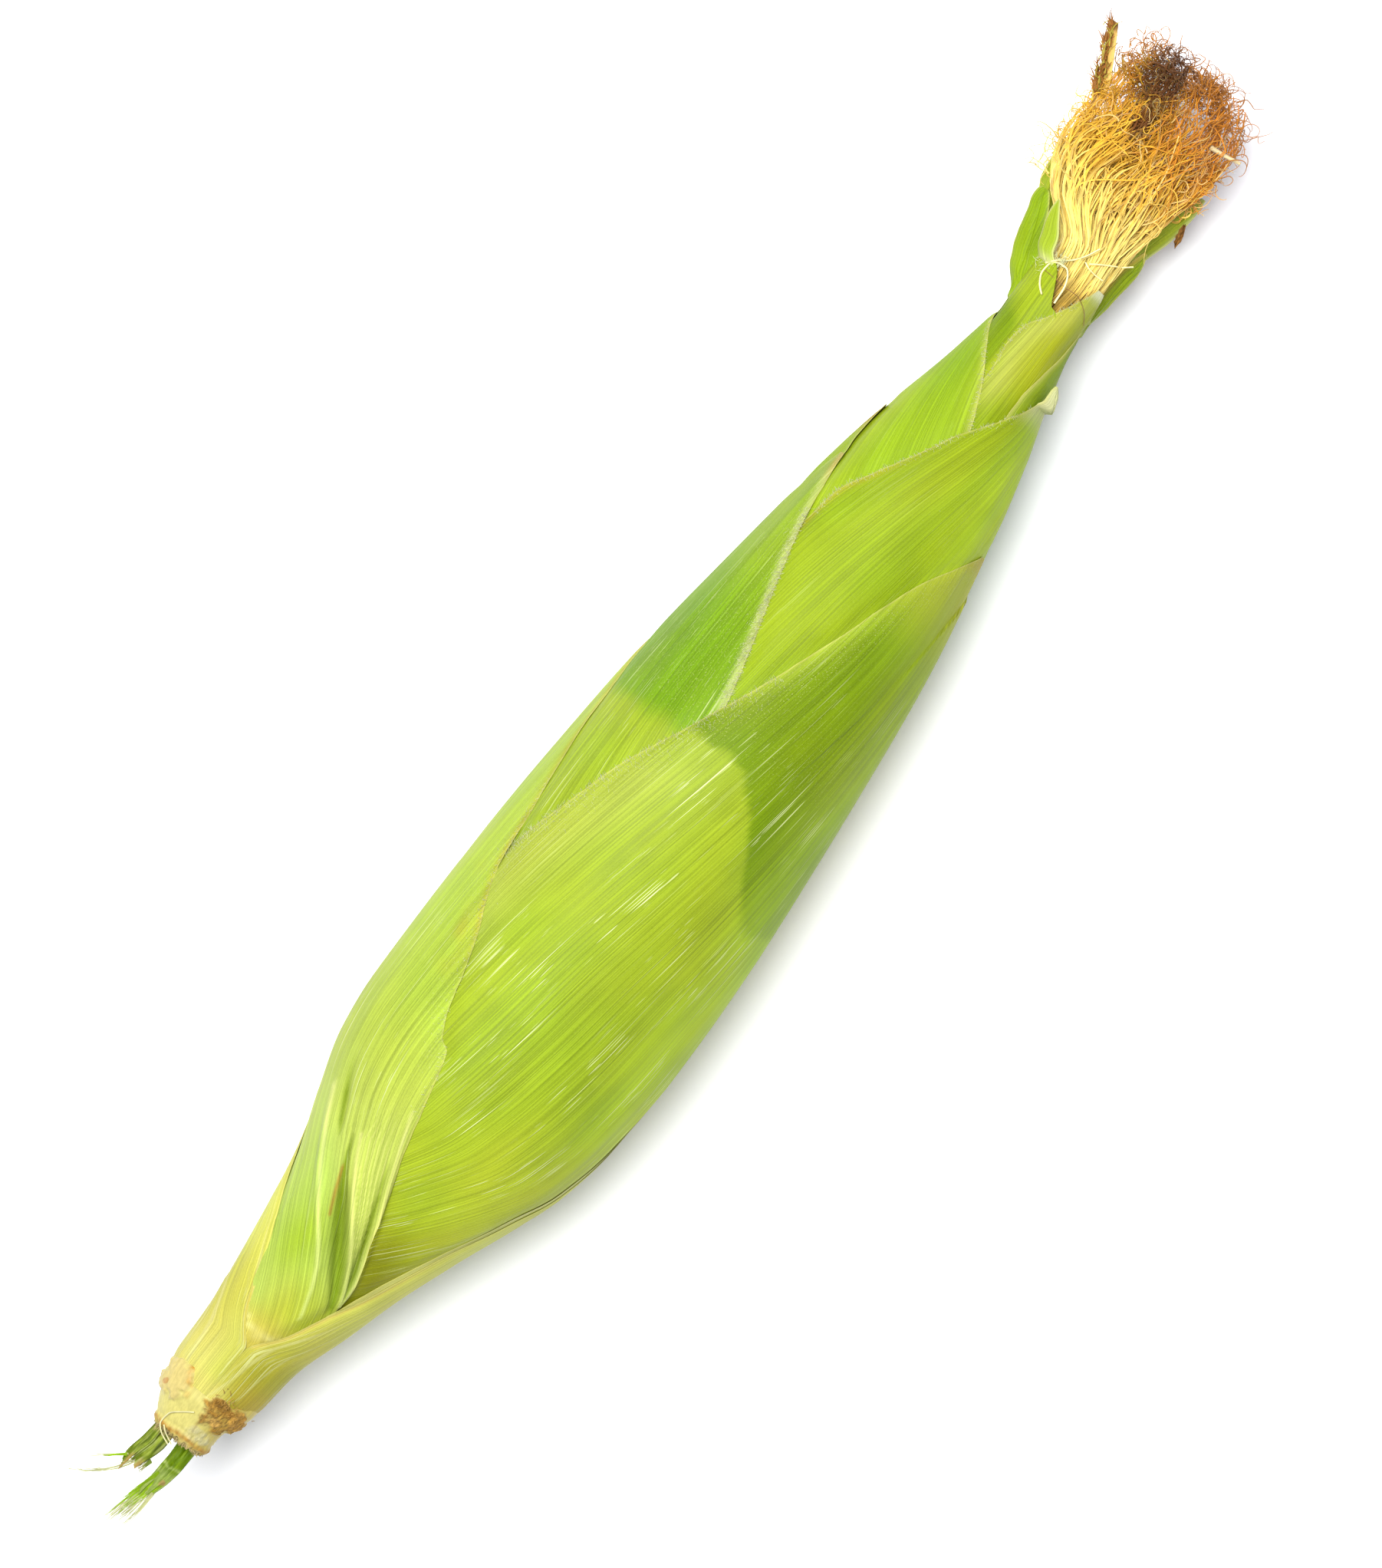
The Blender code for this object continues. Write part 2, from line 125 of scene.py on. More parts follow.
# A leaf's margins are (x, low angle, high angle). "lie" is how high each margin stands over the leaf
# below, (x, low, high). "grain" is how far the veins turn round the ear, (x, degrees). "blade" is the
# narrow part past the sheath: (x, y, z, half width, the way it faces). "fine" holds the spans of x with
# close rows of points.
LEAVES = [
    {
        "name": "leaf_13_dried_tip",
        "margins": [(-56, -75, 50), (112, -75, 45), (140, -68, 12), (152, -52, -16)],
        "blade": [
            (158, 9.8, 18.3, 2.6, -10), (165, 12.0, 19.0, 3.0, 30), (170, 14.6, 19.8, 3.2, 50),
            (175, 16.6, 20.6, 2.6, 60), (180, 17.6, 21.4, 1.3, 65), (186, 18.0, 22.6, 0.8, 70),
            (192, 18.6, 23.6, 1.2, 70), (198, 21.3, 24.8, 1.25, 70), (204.4, 24.7, 26.6, 1.1, 70),
            (205.2, 25.0, 26.8, 0.7, 70),
        ],
    },
    {
        "name": "leaf_12_cradle",
        "margins": [(-58, 120, 255), (112, 120, 255), (140, 135, 242), (154, 160, 215)],
        "blade": [
            (160, -4.4, 17.6, 2.8, 190), (166, -5.0, 16.8, 3.0, 165), (172, -6.3, 16.6, 2.8, 140),
            (178, -7.9, 16.4, 2.5, 122), (184, -9.2, 16.3, 1.7, 110), (188.5, -10.2, 16.4, 0.4, 105),
        ],
    },
    {
        "name": "leaf_11_flag",
        "margins": [(-62, -115, 32), (112, -115, 28), (132, -85, 14), (149, -34, -4)],
        "blade": [
            (151.5, 9.4, 22.3, 2.2, 20), (156, 11.0, 23.4, 3.3, 52), (161, 12.7, 24.0, 3.4, 56),
            (166, 14.6, 24.4, 2.7, 60), (169.8, 16.0, 24.6, 1.7, 60), (170.8, 16.2, 24.6, 0.9, 60),
        ],
    },
    {
        "name": "leaf_10_pale",
        "slot": "inner_husk",
        "margins": [
            (-65, 60, 250), (70, 50, 250), (120, 62, 240), (134, 75, 228), (142, 69, 218), (146, 73, 213),
            (150, 92, 206), (154.5, 111, 190), (160.5, 138, 160),
        ],
        "lie": [(-60, 0.1, 0.1), (140, 0.15, 0.15), (160, 0.3, 0.3)],
        "grain": [(-65, 0), (120, 0), (160, 26)],
    },
    {
        "name": "leaf_09_neck",
        "margins": [
            (-68, 130, 340), (70, 125, 330), (120, 112, 300), (133, 116, 270), (141, 132, 240),
            (145.5, 150, 215), (151, 166, 190),
        ],
        "lie": [(-60, 0.1, 0.1), (120, 0.3, 0.1), (140, 0.6, 0.1)],
        "blade": [
            (155.5, -6.2, 21.4, 1.8, 150), (161, -6.4, 20.8, 2.2, 130), (166, -6.8, 20.2, 2.1, 125),
            (170, -7.3, 19.6, 1.4, 125), (172.8, -7.4, 19.2, 0.4, 125),
        ],
    },
    {
        "name": "leaf_08_shoulder",
        "margins": [
            (-71, -68, 110), (54, -68, 125), (105, -68, 110), (123, -60, 93), (132, -45, 76),
            (138, -27, 54), (145.5, -4, 8),
        ],
        "lie": [(-60, 0.1, 0.1), (110, 0.1, 0.15), (145, 0.1, 0.3)],
        "grain": [(60, 0), (90, -12), (110, -27), (130, -52), (145, -75)],
    },
    {
        "name": "leaf_07_curled_tip",
        "margins": [
            (-76, 60, 260), (40, 28, 262), (90, 43, 255), (97.5, 46, 250), (105, 58, 243), (112.5, 72, 234),
            (120, 86, 225), (127.5, 108, 212), (135, 140, 195),
        ],
        "lie": [(-60, 0.1, 0.1), (80, 0.1, 0.1), (110, 0.12, 0.1), (125, 0.3, 0.2), (135, 0.7, 0.4)],
        "grain": [(40, 0), (80, 12), (100, 25), (120, 48), (138, 85)],
        "blade": [
            (136.6, -9.8, 29.0, 2.3, 146), (138.2, -9.6, 29.5, 1.5, 128), (139.5, -9.2, 29.7, 0.9, 116),
            (140.5, -8.9, 29.6, 0.2, 116),
        ],
    },
    {
        "name": "leaf_06_back",
        "margins": [(-81, -170, 20), (40, -165, 30), (90, -110, 30), (105, -60, 24), (118, -8, 12)],
        "lie": [(-60, 0.1, 0.1), (90, 0.1, 0.3), (118, 0.3, 0.6)],
    },
    {
        "name": "leaf_05_dark",
        "margins": [
            (-86, -60, 110), (-30, -76, 108), (18, -70, 95), (52, -52, 77), (60, -45, 72), (75, -28, 59),
            (90, -8, 43), (97.5, 4, 35), (105, 18, 26),
        ],
        "lie": [(-60, 0.1, 0.1), (50, 0.1, 0.12), (90, 0.1, 0.2), (105, 0.2, 0.3)],
        "grain": [(-30, 0), (105, -25)],
    },
    {
        "name": "leaf_04_broad",
        "margins": [
            (-91, 70, 240), (-46, 30, 258), (0, 35, 255), (15, 45, 250), (30, 56, 244), (45, 71, 236),
            (60, 85, 226), (75, 99, 214), (90, 116, 200), (100, 140, 188), (105, 163, 175),
        ],
        "lie": [(-60, 0.0, 0.1), (35, 0.02, 0.1), (50, 0.15, 0.1), (90, 0.22, 0.2), (105, 0.5, 0.5)],
        "grain": [(-91, 0), (-78, 39), (-60, 79), (-45, 97), (0, 112), (105, 164)],
    },
    {
        "name": "leaf_03_folded",
        "margins": [
            (-107, -100, 128), (-88, -95, 128), (-81, -92, 118), (-73, -96, 104), (-63, -104, 92),
            (-54, -110, 84), (-44, -110, 79), (-33.4, -110, 73), (-32.4, -110, 69), (-15, -104, 55),
            (0, -92, 40), (15, -76, 32), (30, -55, 22), (43, -28, 11), (58, -14, -8),
        ],
        "lie": [(-100, 0.1, 0.2), (-85, 0.1, 0.5), (-60, 0.1, 0.4), (-34, 0.1, 0.25), (58, 0.1, 0.12)],
        "fine": [(-92, -52), (-35, -31)],
        "grain": [
            (-102, 0), (-90, -25), (-80, -48), (-70, -68), (-60, -82), (-48, -90), (-35, -92), (60, -80),
        ],
    },
    {
        "name": "leaf_02_under",
        "margins": [
            (-111, 100, 330), (-84, 130, 325), (-60, 153, 318), (-52, 159, 312), (-45, 169, 305),
            (-15, 180, 280), (20, 184, 240), (50, 189, 205), (62, 190, 195),
        ],
        "lie": [(-110, 0.1, 0.1), (-60, 0.15, 0.1), (60, 0.1, 0.1)],
    },
    {
        "name": "leaf_01_outer",
        "margins": [
            (-116, 90, 450), (-104, 90, 450), (-101.5, 97, 440), (-98, 110, 427), (-90, 123, 411),
            (-82, 137, 399), (-74, 145, 380), (-66, 151, 362), (-54, 163, 348), (-45, 174, 340),
            (-15, 184, 326), (20, 186, 312), (45, 187, 298), (62, 188, 272), (80, 189, 228), (94, 190, 197),
        ],
        "lie": [(-116, 0.0, 0.0), (-100, 0.1, 0.0), (-85, 0.25, 0.05), (-45, 0.15, 0.1), (94, 0.1, 0.1)],
        "closed": (-105.5, -103.2),    # the margins meet below the first x and part by the second
    },
]

# ---------------------------------------------------------------- numbers

def smooth(table, column, at):
    """A table's column at the places asked for, on a curve that doesn't overshoot its points."""
    xs = np.array([row[0] for row in table], float)
    ys = np.array([row[column] for row in table], float)
    at = np.clip(np.asarray(at, float), xs[0], xs[-1])
    step = np.diff(xs)
    slope = np.diff(ys) / step
    product = slope[:-1] * slope[1:]
    safe = np.where(product > 0, slope[:-1] + slope[1:], 1.0)
    lean = np.concatenate([slope[:1], np.where(product > 0, 2 * product / safe, 0.0), slope[-1:]])
    i = np.clip(np.searchsorted(xs, at, side="right") - 1, 0, len(xs) - 2)
    t = (at - xs[i]) / step[i]
    return (
        (1 + 2 * t) * (1 - t) ** 2 * ys[i]
        + t * (1 - t) ** 2 * step[i] * lean[i]
        + t * t * (3 - 2 * t) * ys[i + 1]
        + t * t * (t - 1) * step[i] * lean[i + 1]
    )


def straight(table, column, at):
    """A table's column at the places asked for, on straight lines between its points."""
    return np.interp(at, [row[0] for row in table], [row[column] for row in table])


def ease(value, start=0.0, end=1.0):
    """0 before start, 1 after end, and a smooth rise between them."""
    share = np.clip((np.asarray(value, float) - start) / (end - start), 0, 1)
    return share * share * (3 - 2 * share)


def settled(distance, reach):
    """1 before a reach of (start, end), 0 past it."""
    return 1 - ease(distance, reach[0], reach[1])


def hump(value, middle, half_width):
    """1 in the middle, falling smoothly on both sides."""
    return np.exp(-(((np.asarray(value, float) - middle) / half_width) ** 2))


def tinted(colour, other, share):
    """An array of colours mixed with another colour by an array of shares."""
    return colour + (other - colour) * np.clip(share, 0, 1)[..., None]


def value_noise(x, y, seed):
    """Smooth noise from -1 to 1, one cell to the unit."""
    table = np.random.default_rng(seed).uniform(-1, 1, (257, 257))
    x, y = np.broadcast_arrays(np.asarray(x, float), np.asarray(y, float))
    i, j = np.floor(x).astype(int), np.floor(y).astype(int)
    fx, fy = x - i, y - j
    fx, fy = fx * fx * (3 - 2 * fx), fy * fy * (3 - 2 * fy)
    i, j = i % 256, j % 256
    top = table[i, j] * (1 - fx) + table[i + 1, j] * fx
    low = table[i, j + 1] * (1 - fx) + table[i + 1, j + 1] * fx
    return top * (1 - fy) + low * fy


# ---------------------------------------------------------------- the ear's form

def near_line(x, y, line):
    """How many half widths away a line of (x, y, half width, height) points is, and its height there."""
    best = np.full(np.shape(x), 1e9)
    value = np.zeros(np.shape(x))
    for (x0, y0, w0, h0), (x1, y1, w1, h1) in zip(line, line[1:]):
        dx, dy = x1 - x0, y1 - y0
        t = np.clip(((x - x0) * dx + (y - y0) * dy) / (dx * dx + dy * dy), 0, 1)
        away = np.hypot(x - x0 - t * dx, y - y0 - t * dy) / (w0 + (w1 - w0) * t)
        value = np.where(away < best, h0 + (h1 - h0) * t, value)
        best = np.minimum(away, best)
    return best, value


def across_pleats(x, y):
    """0 on the ridge along the margin, 1 on the ridge under the fold."""
    low = straight(FOLDS["ridge along the margin"], 1, x)
    high = straight(FOLDS["ridge under the fold"], 1, x)
    return (y - low) / np.maximum(high - low, 1.0)


def pleat_window(x, share):
    """How strong the pleats are at x, this far across them."""
    none_left, full_left, full_right, none_right = PLEAT_SPAN
    along = ease(x, none_left, full_left) * (1 - ease(x, full_right, none_right))
    return along * ease(share, 0.05, 0.2) * (1 - ease(share, 0.85, 1.0))


def folded(x, y):
    """Height of the folds and pleats near the butt, at places seen from above."""
    height = np.zeros(x.shape)
    for line in FOLDS.values():
        away, value = near_line(x, y, line)
        height += value * hump(away, 0, 1)
    share = across_pleats(x, y)
    return height + PLEAT_HEIGHT * np.cos(2 * math.pi * PLEATS * share) * pleat_window(x, share)


def swell(x, angle):
    """How far the outside stands out from the smooth outline, the same for every layer of leaves."""
    x, angle = np.broadcast_arrays(np.asarray(x, float), np.asarray(angle, float))
    radius = smooth(OUTLINE, 2, x)
    turn = np.radians(angle)
    size = radius / FULL_RADIUS
    out = 0.34 * size * value_noise(x / 46 + 2.1 * np.cos(turn), 3.8 * np.sin(turn) + 40, 11)
    out = out + 0.22 * size * value_noise(x / 60 + 9, angle / 13.5 + x / 160, 12)
    out = out + 0.09 * size * value_noise(x / 34 + 3, angle / 6.2 - x / 120, 13)
    near = (x > -106) & (x < -40) & (np.sin(turn) > -0.1)
    if near.any():
        y = smooth(OUTLINE, 1, x[near]) + radius[near] * np.cos(turn[near])
        out[near] += folded(x[near], y) * ease(np.sin(turn[near]), -0.1, 0.3)
    flat = ease(-np.sin(turn), 0.80, 0.97) * ease(radius, 12, 24)
    return out * (1 - flat)


def off_margin(leaf, x, angle):
    """Degrees from a leaf's nearer margin, negative inside the leaf."""
    low = smooth(leaf["margins"], 1, x)
    high = smooth(leaf["margins"], 2, x)
    return np.abs((angle - (low + high) / 2 + 180) % 360 - 180) - (high - low) / 2


def covered(leaf, x, angle):
    """1 under a leaf, falling to 0 away from its margins."""
    margins = leaf["margins"]
    across = np.radians(np.maximum(off_margin(leaf, x, angle), 0)) * smooth(OUTLINE, 2, x)
    return (
        settled(across, SETTLE_ACROSS)
        * settled(x - margins[-1][0], SETTLE_PAST_TIP)
        * settled(margins[0][0] - x, SETTLE_BEFORE_BASE)
    )


def depth_under(leaves, x, angle):
    """How far a pile of leaves pushes down what lies under it."""
    x, angle = np.broadcast_arrays(np.asarray(x, float), np.asarray(angle, float))
    return LAYER_PITCH * sum((covered(leaf, x, angle) for leaf in leaves), np.zeros(x.shape))


def hidden(leaves, x, angle, band=2.5):
    """True where a leaf on top hides this place by more than the band."""
    result = np.zeros(np.broadcast(x, angle).shape, bool)
    for leaf in leaves:
        margins = leaf["margins"]
        across = np.radians(off_margin(leaf, x, angle)) * smooth(OUTLINE, 2, x)
        result |= (across < -band) & (x > margins[0][0] + band) & (x < margins[-1][0] - band)
    return result


def ear_point(x, angle, depth):
    """Points this deep under the ear's outside, which is pressed flat where it rests."""
    out = smooth(OUTLINE, 2, x) + swell(x, angle) - depth
    turn = np.radians(angle)
    y = smooth(OUTLINE, 1, x) + out * np.cos(turn)
    z = smooth(CENTRE_HEIGHT, 1, x) + FLATTENING * out * np.sin(turn)
    return np.stack(np.broadcast_arrays(np.asarray(x, float), y, np.maximum(z, depth)), axis=-1)


def on_top(x, y, above=0.0):
    """A point of the ear's upper side seen at (x, y) from above, raised a little."""
    radius = smooth(OUTLINE, 2, x)
    share = np.clip((y - smooth(OUTLINE, 1, x)) / radius, -0.999, 0.999)
    return ear_point(x, np.degrees(np.arccos(share)), -above)

# ---------------------------------------------------------------- meshes

def new_piece(name, points, faces, material, node, tint=None, uv=None, values=None):
    """A mesh object that rides on the part and stands for its CAD node."""
    mesh = bpy.data.meshes.new(name)
    mesh.from_pydata((np.asarray(points) * MM).tolist(), [], faces)
    mesh.update()
    mesh.shade_smooth()
    mesh.set_sharp_from_angle(angle=math.radians(60))
    if uv is not None:
        layer = mesh.uv_layers.new(name="Leaf")
        index = np.zeros(len(mesh.loops), int)
        mesh.loops.foreach_get("vertex_index", index)
        layer.data.foreach_set("uv", np.asarray(uv, np.float32)[index].ravel())
    if tint is not None:
        colours = np.concatenate([np.clip(tint, 0, 1), np.ones((len(tint), 1))], axis=1)
        attribute = mesh.attributes.new("tint", "FLOAT_COLOR", "POINT")
        attribute.data.foreach_set("color", colours.astype(np.float32).ravel())
    for key, data in (values or {}).items():
        attribute = mesh.attributes.new(key, "FLOAT", "POINT")
        attribute.data.foreach_set("value", np.asarray(data, np.float32).ravel())
    mesh.materials.append(material)
    piece = bpy.data.objects.new(name, mesh)
    bpy.context.scene.collection.objects.link(piece)
    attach(piece, "root")
    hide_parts(node)
    return piece


def shell_faces(rows, columns):
    """Faces of a thin closed shell between two grids of points."""
    index = np.arange(rows * columns).reshape(rows, columns)
    far = rows * columns
    a, b = index[:-1, :-1].ravel(), index[:-1, 1:].ravel()
    c, d = index[1:, 1:].ravel(), index[1:, :-1].ravel()
    outer = np.stack([a, b, c, d], axis=1)
    inner = np.stack([a, d, c, b], axis=1) + far
    rim = np.concatenate([index[0, :-1], index[:-1, -1], index[-1, :0:-1], index[:0:-1, 0]])
    after = np.roll(rim, -1)
    side = np.stack([after, rim, rim + far, after + far], axis=1)
    return np.concatenate([outer, inner, side]).tolist()


def tube_faces(rings, sides):
    """Faces of a closed tube with a flat cap at each end."""
    index = np.arange(rings * sides).reshape(rings, sides)
    turned = np.roll(index, -1, axis=1)
    wall = np.stack([index[:-1], index[1:], turned[1:], turned[:-1]], axis=-1).reshape(-1, 4)
    return wall.tolist() + [index[0].tolist(), index[-1, ::-1].tolist()]


def thread_piece(name, strands, material, node, sides=4):
    """A piece made of many thin closed threads: (path, radius, colour), with a path as an array of points."""
    points, colours, faces, start = [], [], [], 0
    turn = np.arange(sides) * 2 * math.pi / sides
    for path, radius, tint in strands:
        along = np.gradient(path, axis=0)
        along /= np.maximum(np.linalg.norm(along, axis=1, keepdims=True), 1e-9)
        side = np.cross(along, (0.12, 0.3, 0.95))
        side /= np.maximum(np.linalg.norm(side, axis=1, keepdims=True), 1e-9)
        up = np.cross(side, along)
        size = np.broadcast_to(radius, len(path))[:, None, None]
        ring = side[:, None] * np.cos(turn)[:, None] + up[:, None] * np.sin(turn)[:, None]
        points.append((path[:, None] + size * ring).reshape(-1, 3))
        colours.append(np.repeat(np.broadcast_to(tint, path.shape), sides, axis=0))
        faces += [[start + k for k in face] for face in tube_faces(len(path), sides)]
        start += len(path) * sides
    return new_piece(name, np.concatenate(points), faces, material, node, np.concatenate(colours))


def wander(start, heading, length, bend, rng, count):
    """A path that starts in a direction and bends a little at random."""
    heading = np.array(heading, float)
    heading /= np.linalg.norm(heading)
    turn = rng.normal(0, bend, 3)
    path = [np.array(start, float)]
    for _ in range(count - 1):
        turn = turn * 0.9 + rng.normal(0, bend * 0.4, 3)
        heading = heading + np.cross(turn, heading)
        heading /= np.linalg.norm(heading)
        path.append(path[-1] + heading * length / (count - 1))
    return np.array(path)


def through(points, count):
    """A smooth path through a few points."""
    points = np.array(points, float)
    knots = np.linspace(0, 1, len(points))
    at = np.linspace(0, 1, count)
    return np.stack([smooth(list(zip(knots, points[:, k])), 1, at) for k in range(3)], axis=-1)

# ---------------------------------------------------------------- materials

class Tree:
    """A short way to write a material's nodes. Inputs are numbers, colours or other nodes' sockets."""

    def __init__(self, name):
        self.material = bpy.data.materials.new(name)
        self.material.use_nodes = True
        self.nodes = self.material.node_tree.nodes
        self.links = self.material.node_tree.links
        self.shader = self.nodes["Principled BSDF"]

    def put(self, socket, value):
        if isinstance(value, bpy.types.NodeSocket):
            self.links.new(value, socket)
        else:
            socket.default_value = value

    def node(self, kind, inputs=(), **settings):
        made = self.nodes.new(kind)
        for key, value in settings.items():
            setattr(made, key, value)
        for key, value in dict(inputs).items():
            self.put(made.inputs[key], value)
        return made

    def chain(self, operation, values):
        total = values[0]
        for value in values[1:]:
            total = self.node("ShaderNodeMath", {0: total, 1: value}, operation=operation).outputs[0]
        return total

    def add(self, *values):
        return self.chain("ADD", values)

    def times(self, *values):
        return self.chain("MULTIPLY", values)

    def larger(self, *values):
        return self.chain("MAXIMUM", values)

    def mix(self, share, a, b, how="MIX"):
        made = self.nodes.new("ShaderNodeMix")
        made.data_type = "RGBA"
        made.blend_type = how
        for key, value in ((0, share), (6, a), (7, b)):
            self.put(made.inputs[key], value)
        return made.outputs[2]

    def lit(self, colour, light):
        """A colour made lighter or darker by a number."""
        grey = self.node("ShaderNodeCombineColor", {0: light, 1: light, 2: light}).outputs[0]
        return self.mix(1.0, colour, grey, "MULTIPLY")

    def ramp(self, value, low, high, to_low=0.0, to_high=1.0):
        """A number eased from one span into another."""
        inputs = {0: value, 1: low, 2: high, 3: to_low, 4: to_high}
        return self.node("ShaderNodeMapRange", inputs, interpolation_type="SMOOTHSTEP").outputs[0]

    def noise(self, place, scale=(1, 1, 1), shift=(0, 0, 0), detail=2.0, roughness=0.5):
        where = self.node("ShaderNodeMapping", {"Vector": place, "Scale": scale, "Location": shift})
        inputs = {"Vector": where.outputs[0], "Scale": 1.0, "Detail": detail, "Roughness": roughness}
        return self.node("ShaderNodeTexNoise", inputs).outputs[0]

    def attribute(self, name, output="Fac"):
        return self.node("ShaderNodeAttribute", attribute_name=name).outputs[output]

    def finish(self, colour, roughness, height=None, bump=0.0, strength=1.0, **fixed):
        self.put(self.shader.inputs["Base Color"], colour)
        self.put(self.shader.inputs["Roughness"], roughness)
        for key, value in fixed.items():
            self.shader.inputs[key.replace("_", " ")].default_value = value
        if height is not None:
            inputs = {"Height": height, "Distance": bump * MM, "Strength": strength}
            self.put(self.shader.inputs["Normal"], self.node("ShaderNodeBump", inputs).outputs[0])
        return self.material


def husk_material(name, seed):
    """A husk leaf: fine veins along it, white dashes between them, pale fuzz near its margins."""
    t = Tree(name)
    uv = t.node("ShaderNodeUVMap", uv_map="Leaf").outputs[0]
    tint = t.attribute("tint", "Color")
    dashes = t.attribute("dashes")
    fuzz = t.attribute("fuzz")
    shift = (seed * 7.3, seed * 3.1, seed * 1.7)
    vein = t.noise(uv, (1.9, 0.008, 1), shift, 2.0, 0.55)
    fine = t.noise(uv, (3.6, 0.022, 1), shift, 1.0, 0.6)
    band = t.noise(uv, (0.20, 0.012, 1), shift, 2.0, 0.5)
    cloud = t.noise(uv, (0.07, 0.05, 1), shift, 3.0, 0.55)
    grain = t.noise(uv, (5.0, 2.2, 1), shift, 2.0, 0.6)
    light = t.add(
        t.ramp(vein, 0.36, 0.64, -0.07, 0.07),
        t.ramp(fine, 0.34, 0.66, -0.15, 0.15),
        t.ramp(band, 0.30, 0.70, -0.03, 0.03),
        t.ramp(cloud, 0.25, 0.75, -0.07, 0.07),
        t.ramp(grain, 0.30, 0.70, -0.06, 0.06),
        1.0,
    )
    colour = t.lit(tint, light)
    # yellower and greener patches
    hue = t.noise(uv, (0.035, 0.022, 1), shift, 2.0, 0.5)
    for start, end, most, shade in (
        (0.45, 0.65, 0.40, (1.16, 1.0, 0.8, 1)),
        (0.50, 0.32, 0.45, (0.84, 0.98, 0.7, 1)),
    ):
        patch = t.ramp(hue, start, end, 0.0, most)
        colour = t.mix(patch, colour, t.mix(1.0, colour, shade, "MULTIPLY"))
    # the white dashes, where the skin has come away from a vein
    long = t.noise(uv, (3.0, 0.036, 1), shift, 0.0, 0.4)
    short = t.noise(uv, (3.4, 0.13, 1), (shift[1], shift[0], 0), 0.0, 0.4)
    where = t.noise(uv, (0.13, 0.028, 1), shift, 1.0, 0.5)
    dash = t.larger(t.ramp(long, 0.715, 0.75), t.ramp(short, 0.735, 0.78, 0.0, 0.7))
    dash = t.times(dash, t.ramp(where, 0.42, 0.60), dashes)
    colour = t.mix(dash, colour, (0.58, 0.62, 0.29, 1))
    # short pale hairs all over, dense near some margins
    speck = t.noise(uv, (3.6, 2.4, 1), shift, 2.0, 0.7)
    specks = t.times(t.ramp(speck, 0.57, 0.70), fuzz)
    colour = t.mix(specks, colour, (0.40, 0.45, 0.13, 1))
    rough = t.ramp(fine, 0.3, 0.7, 0.48, 0.62)
    height = t.add(
        t.times(vein, 0.6), t.times(fine, 0.5), t.times(grain, 0.15), t.times(dash, 0.1),
        t.times(specks, 0.25),
    )
    return t.finish(colour, rough, height, 0.16, 0.8, Specular_IOR_Level=0.12)


def butt_material(name):
    """The stalk's butt: skin with fine lengthwise lines, and corky scars."""
    t = Tree(name)
    place = t.node("ShaderNodeTexCoord").outputs["Object"]
    tint = t.attribute("tint", "Color")
    cork = t.attribute("cork")
    lines = t.noise(place, (90, 1700, 1700), detail=2.0, roughness=0.6)
    crumbs = t.noise(place, (1300, 1500, 1500), detail=4.0, roughness=0.65)
    shreds = t.noise(place, (420, 1900, 1900), detail=3.0, roughness=0.6)
    light = t.add(t.ramp(lines, 0.3, 0.7, -0.09, 0.09), 1.0)
    light = t.add(light, t.times(t.ramp(crumbs, 0.32, 0.70, -0.36, 0.30), cork))
    light = t.add(light, t.times(t.ramp(shreds, 0.35, 0.68, -0.26, 0.26), cork))
    colour = t.lit(tint, light)
    height = t.add(t.times(lines, 0.25), t.times(crumbs, cork), t.times(shreds, cork))
    rough = t.ramp(cork, 0.0, 1.0, 0.42, 0.85)
    return t.finish(colour, rough, height, 0.30, 0.7, Specular_IOR_Level=0.12)


def thread_material(name, roughness, change, shine):
    """Dry or fresh threads, each with its own colour and a slight change along it."""
    t = Tree(name)
    place = t.node("ShaderNodeTexCoord").outputs["Object"]
    patch = t.noise(place, (420, 420, 420), detail=2.0, roughness=0.6)
    colour = t.lit(t.attribute("tint", "Color"), t.ramp(patch, 0.3, 0.7, 1 - change, 1 + change))
    return t.finish(colour, roughness, patch, 0.05, 0.5, Specular_IOR_Level=shine)

# ---------------------------------------------------------------- how the leaves are painted

# Where the darker green of the broad leaf begins: (y, x).
SHADE_EDGE = [
    (-32, 62), (-29, 20), (-24, 19), (-20, 22), (-15, 30), (-11, 37.5), (-4.5, 43.8), (1, 44.5), (30, 44),
]
# The torn brown edge over the fold: (x, y, half width, 1).
TORN_EDGE = [(-73.0, 8.4, 0.3, 1), (-69.0, 10.1, 0.38, 1), (-63.9, 12.0, 0.25, 1)]


def layered(base, shape, *layers):
    """One colour everywhere, and other colours laid over it in turn by their shares."""
    colour = np.broadcast_to(base, (*shape, 3))
    for other, share in layers:
        colour = tinted(colour, other, share)
    return colour


# A leaf's colour at (x, y), seen from above. low and high are the distances from its margins, and noise
# is smooth, from -1 to 1.

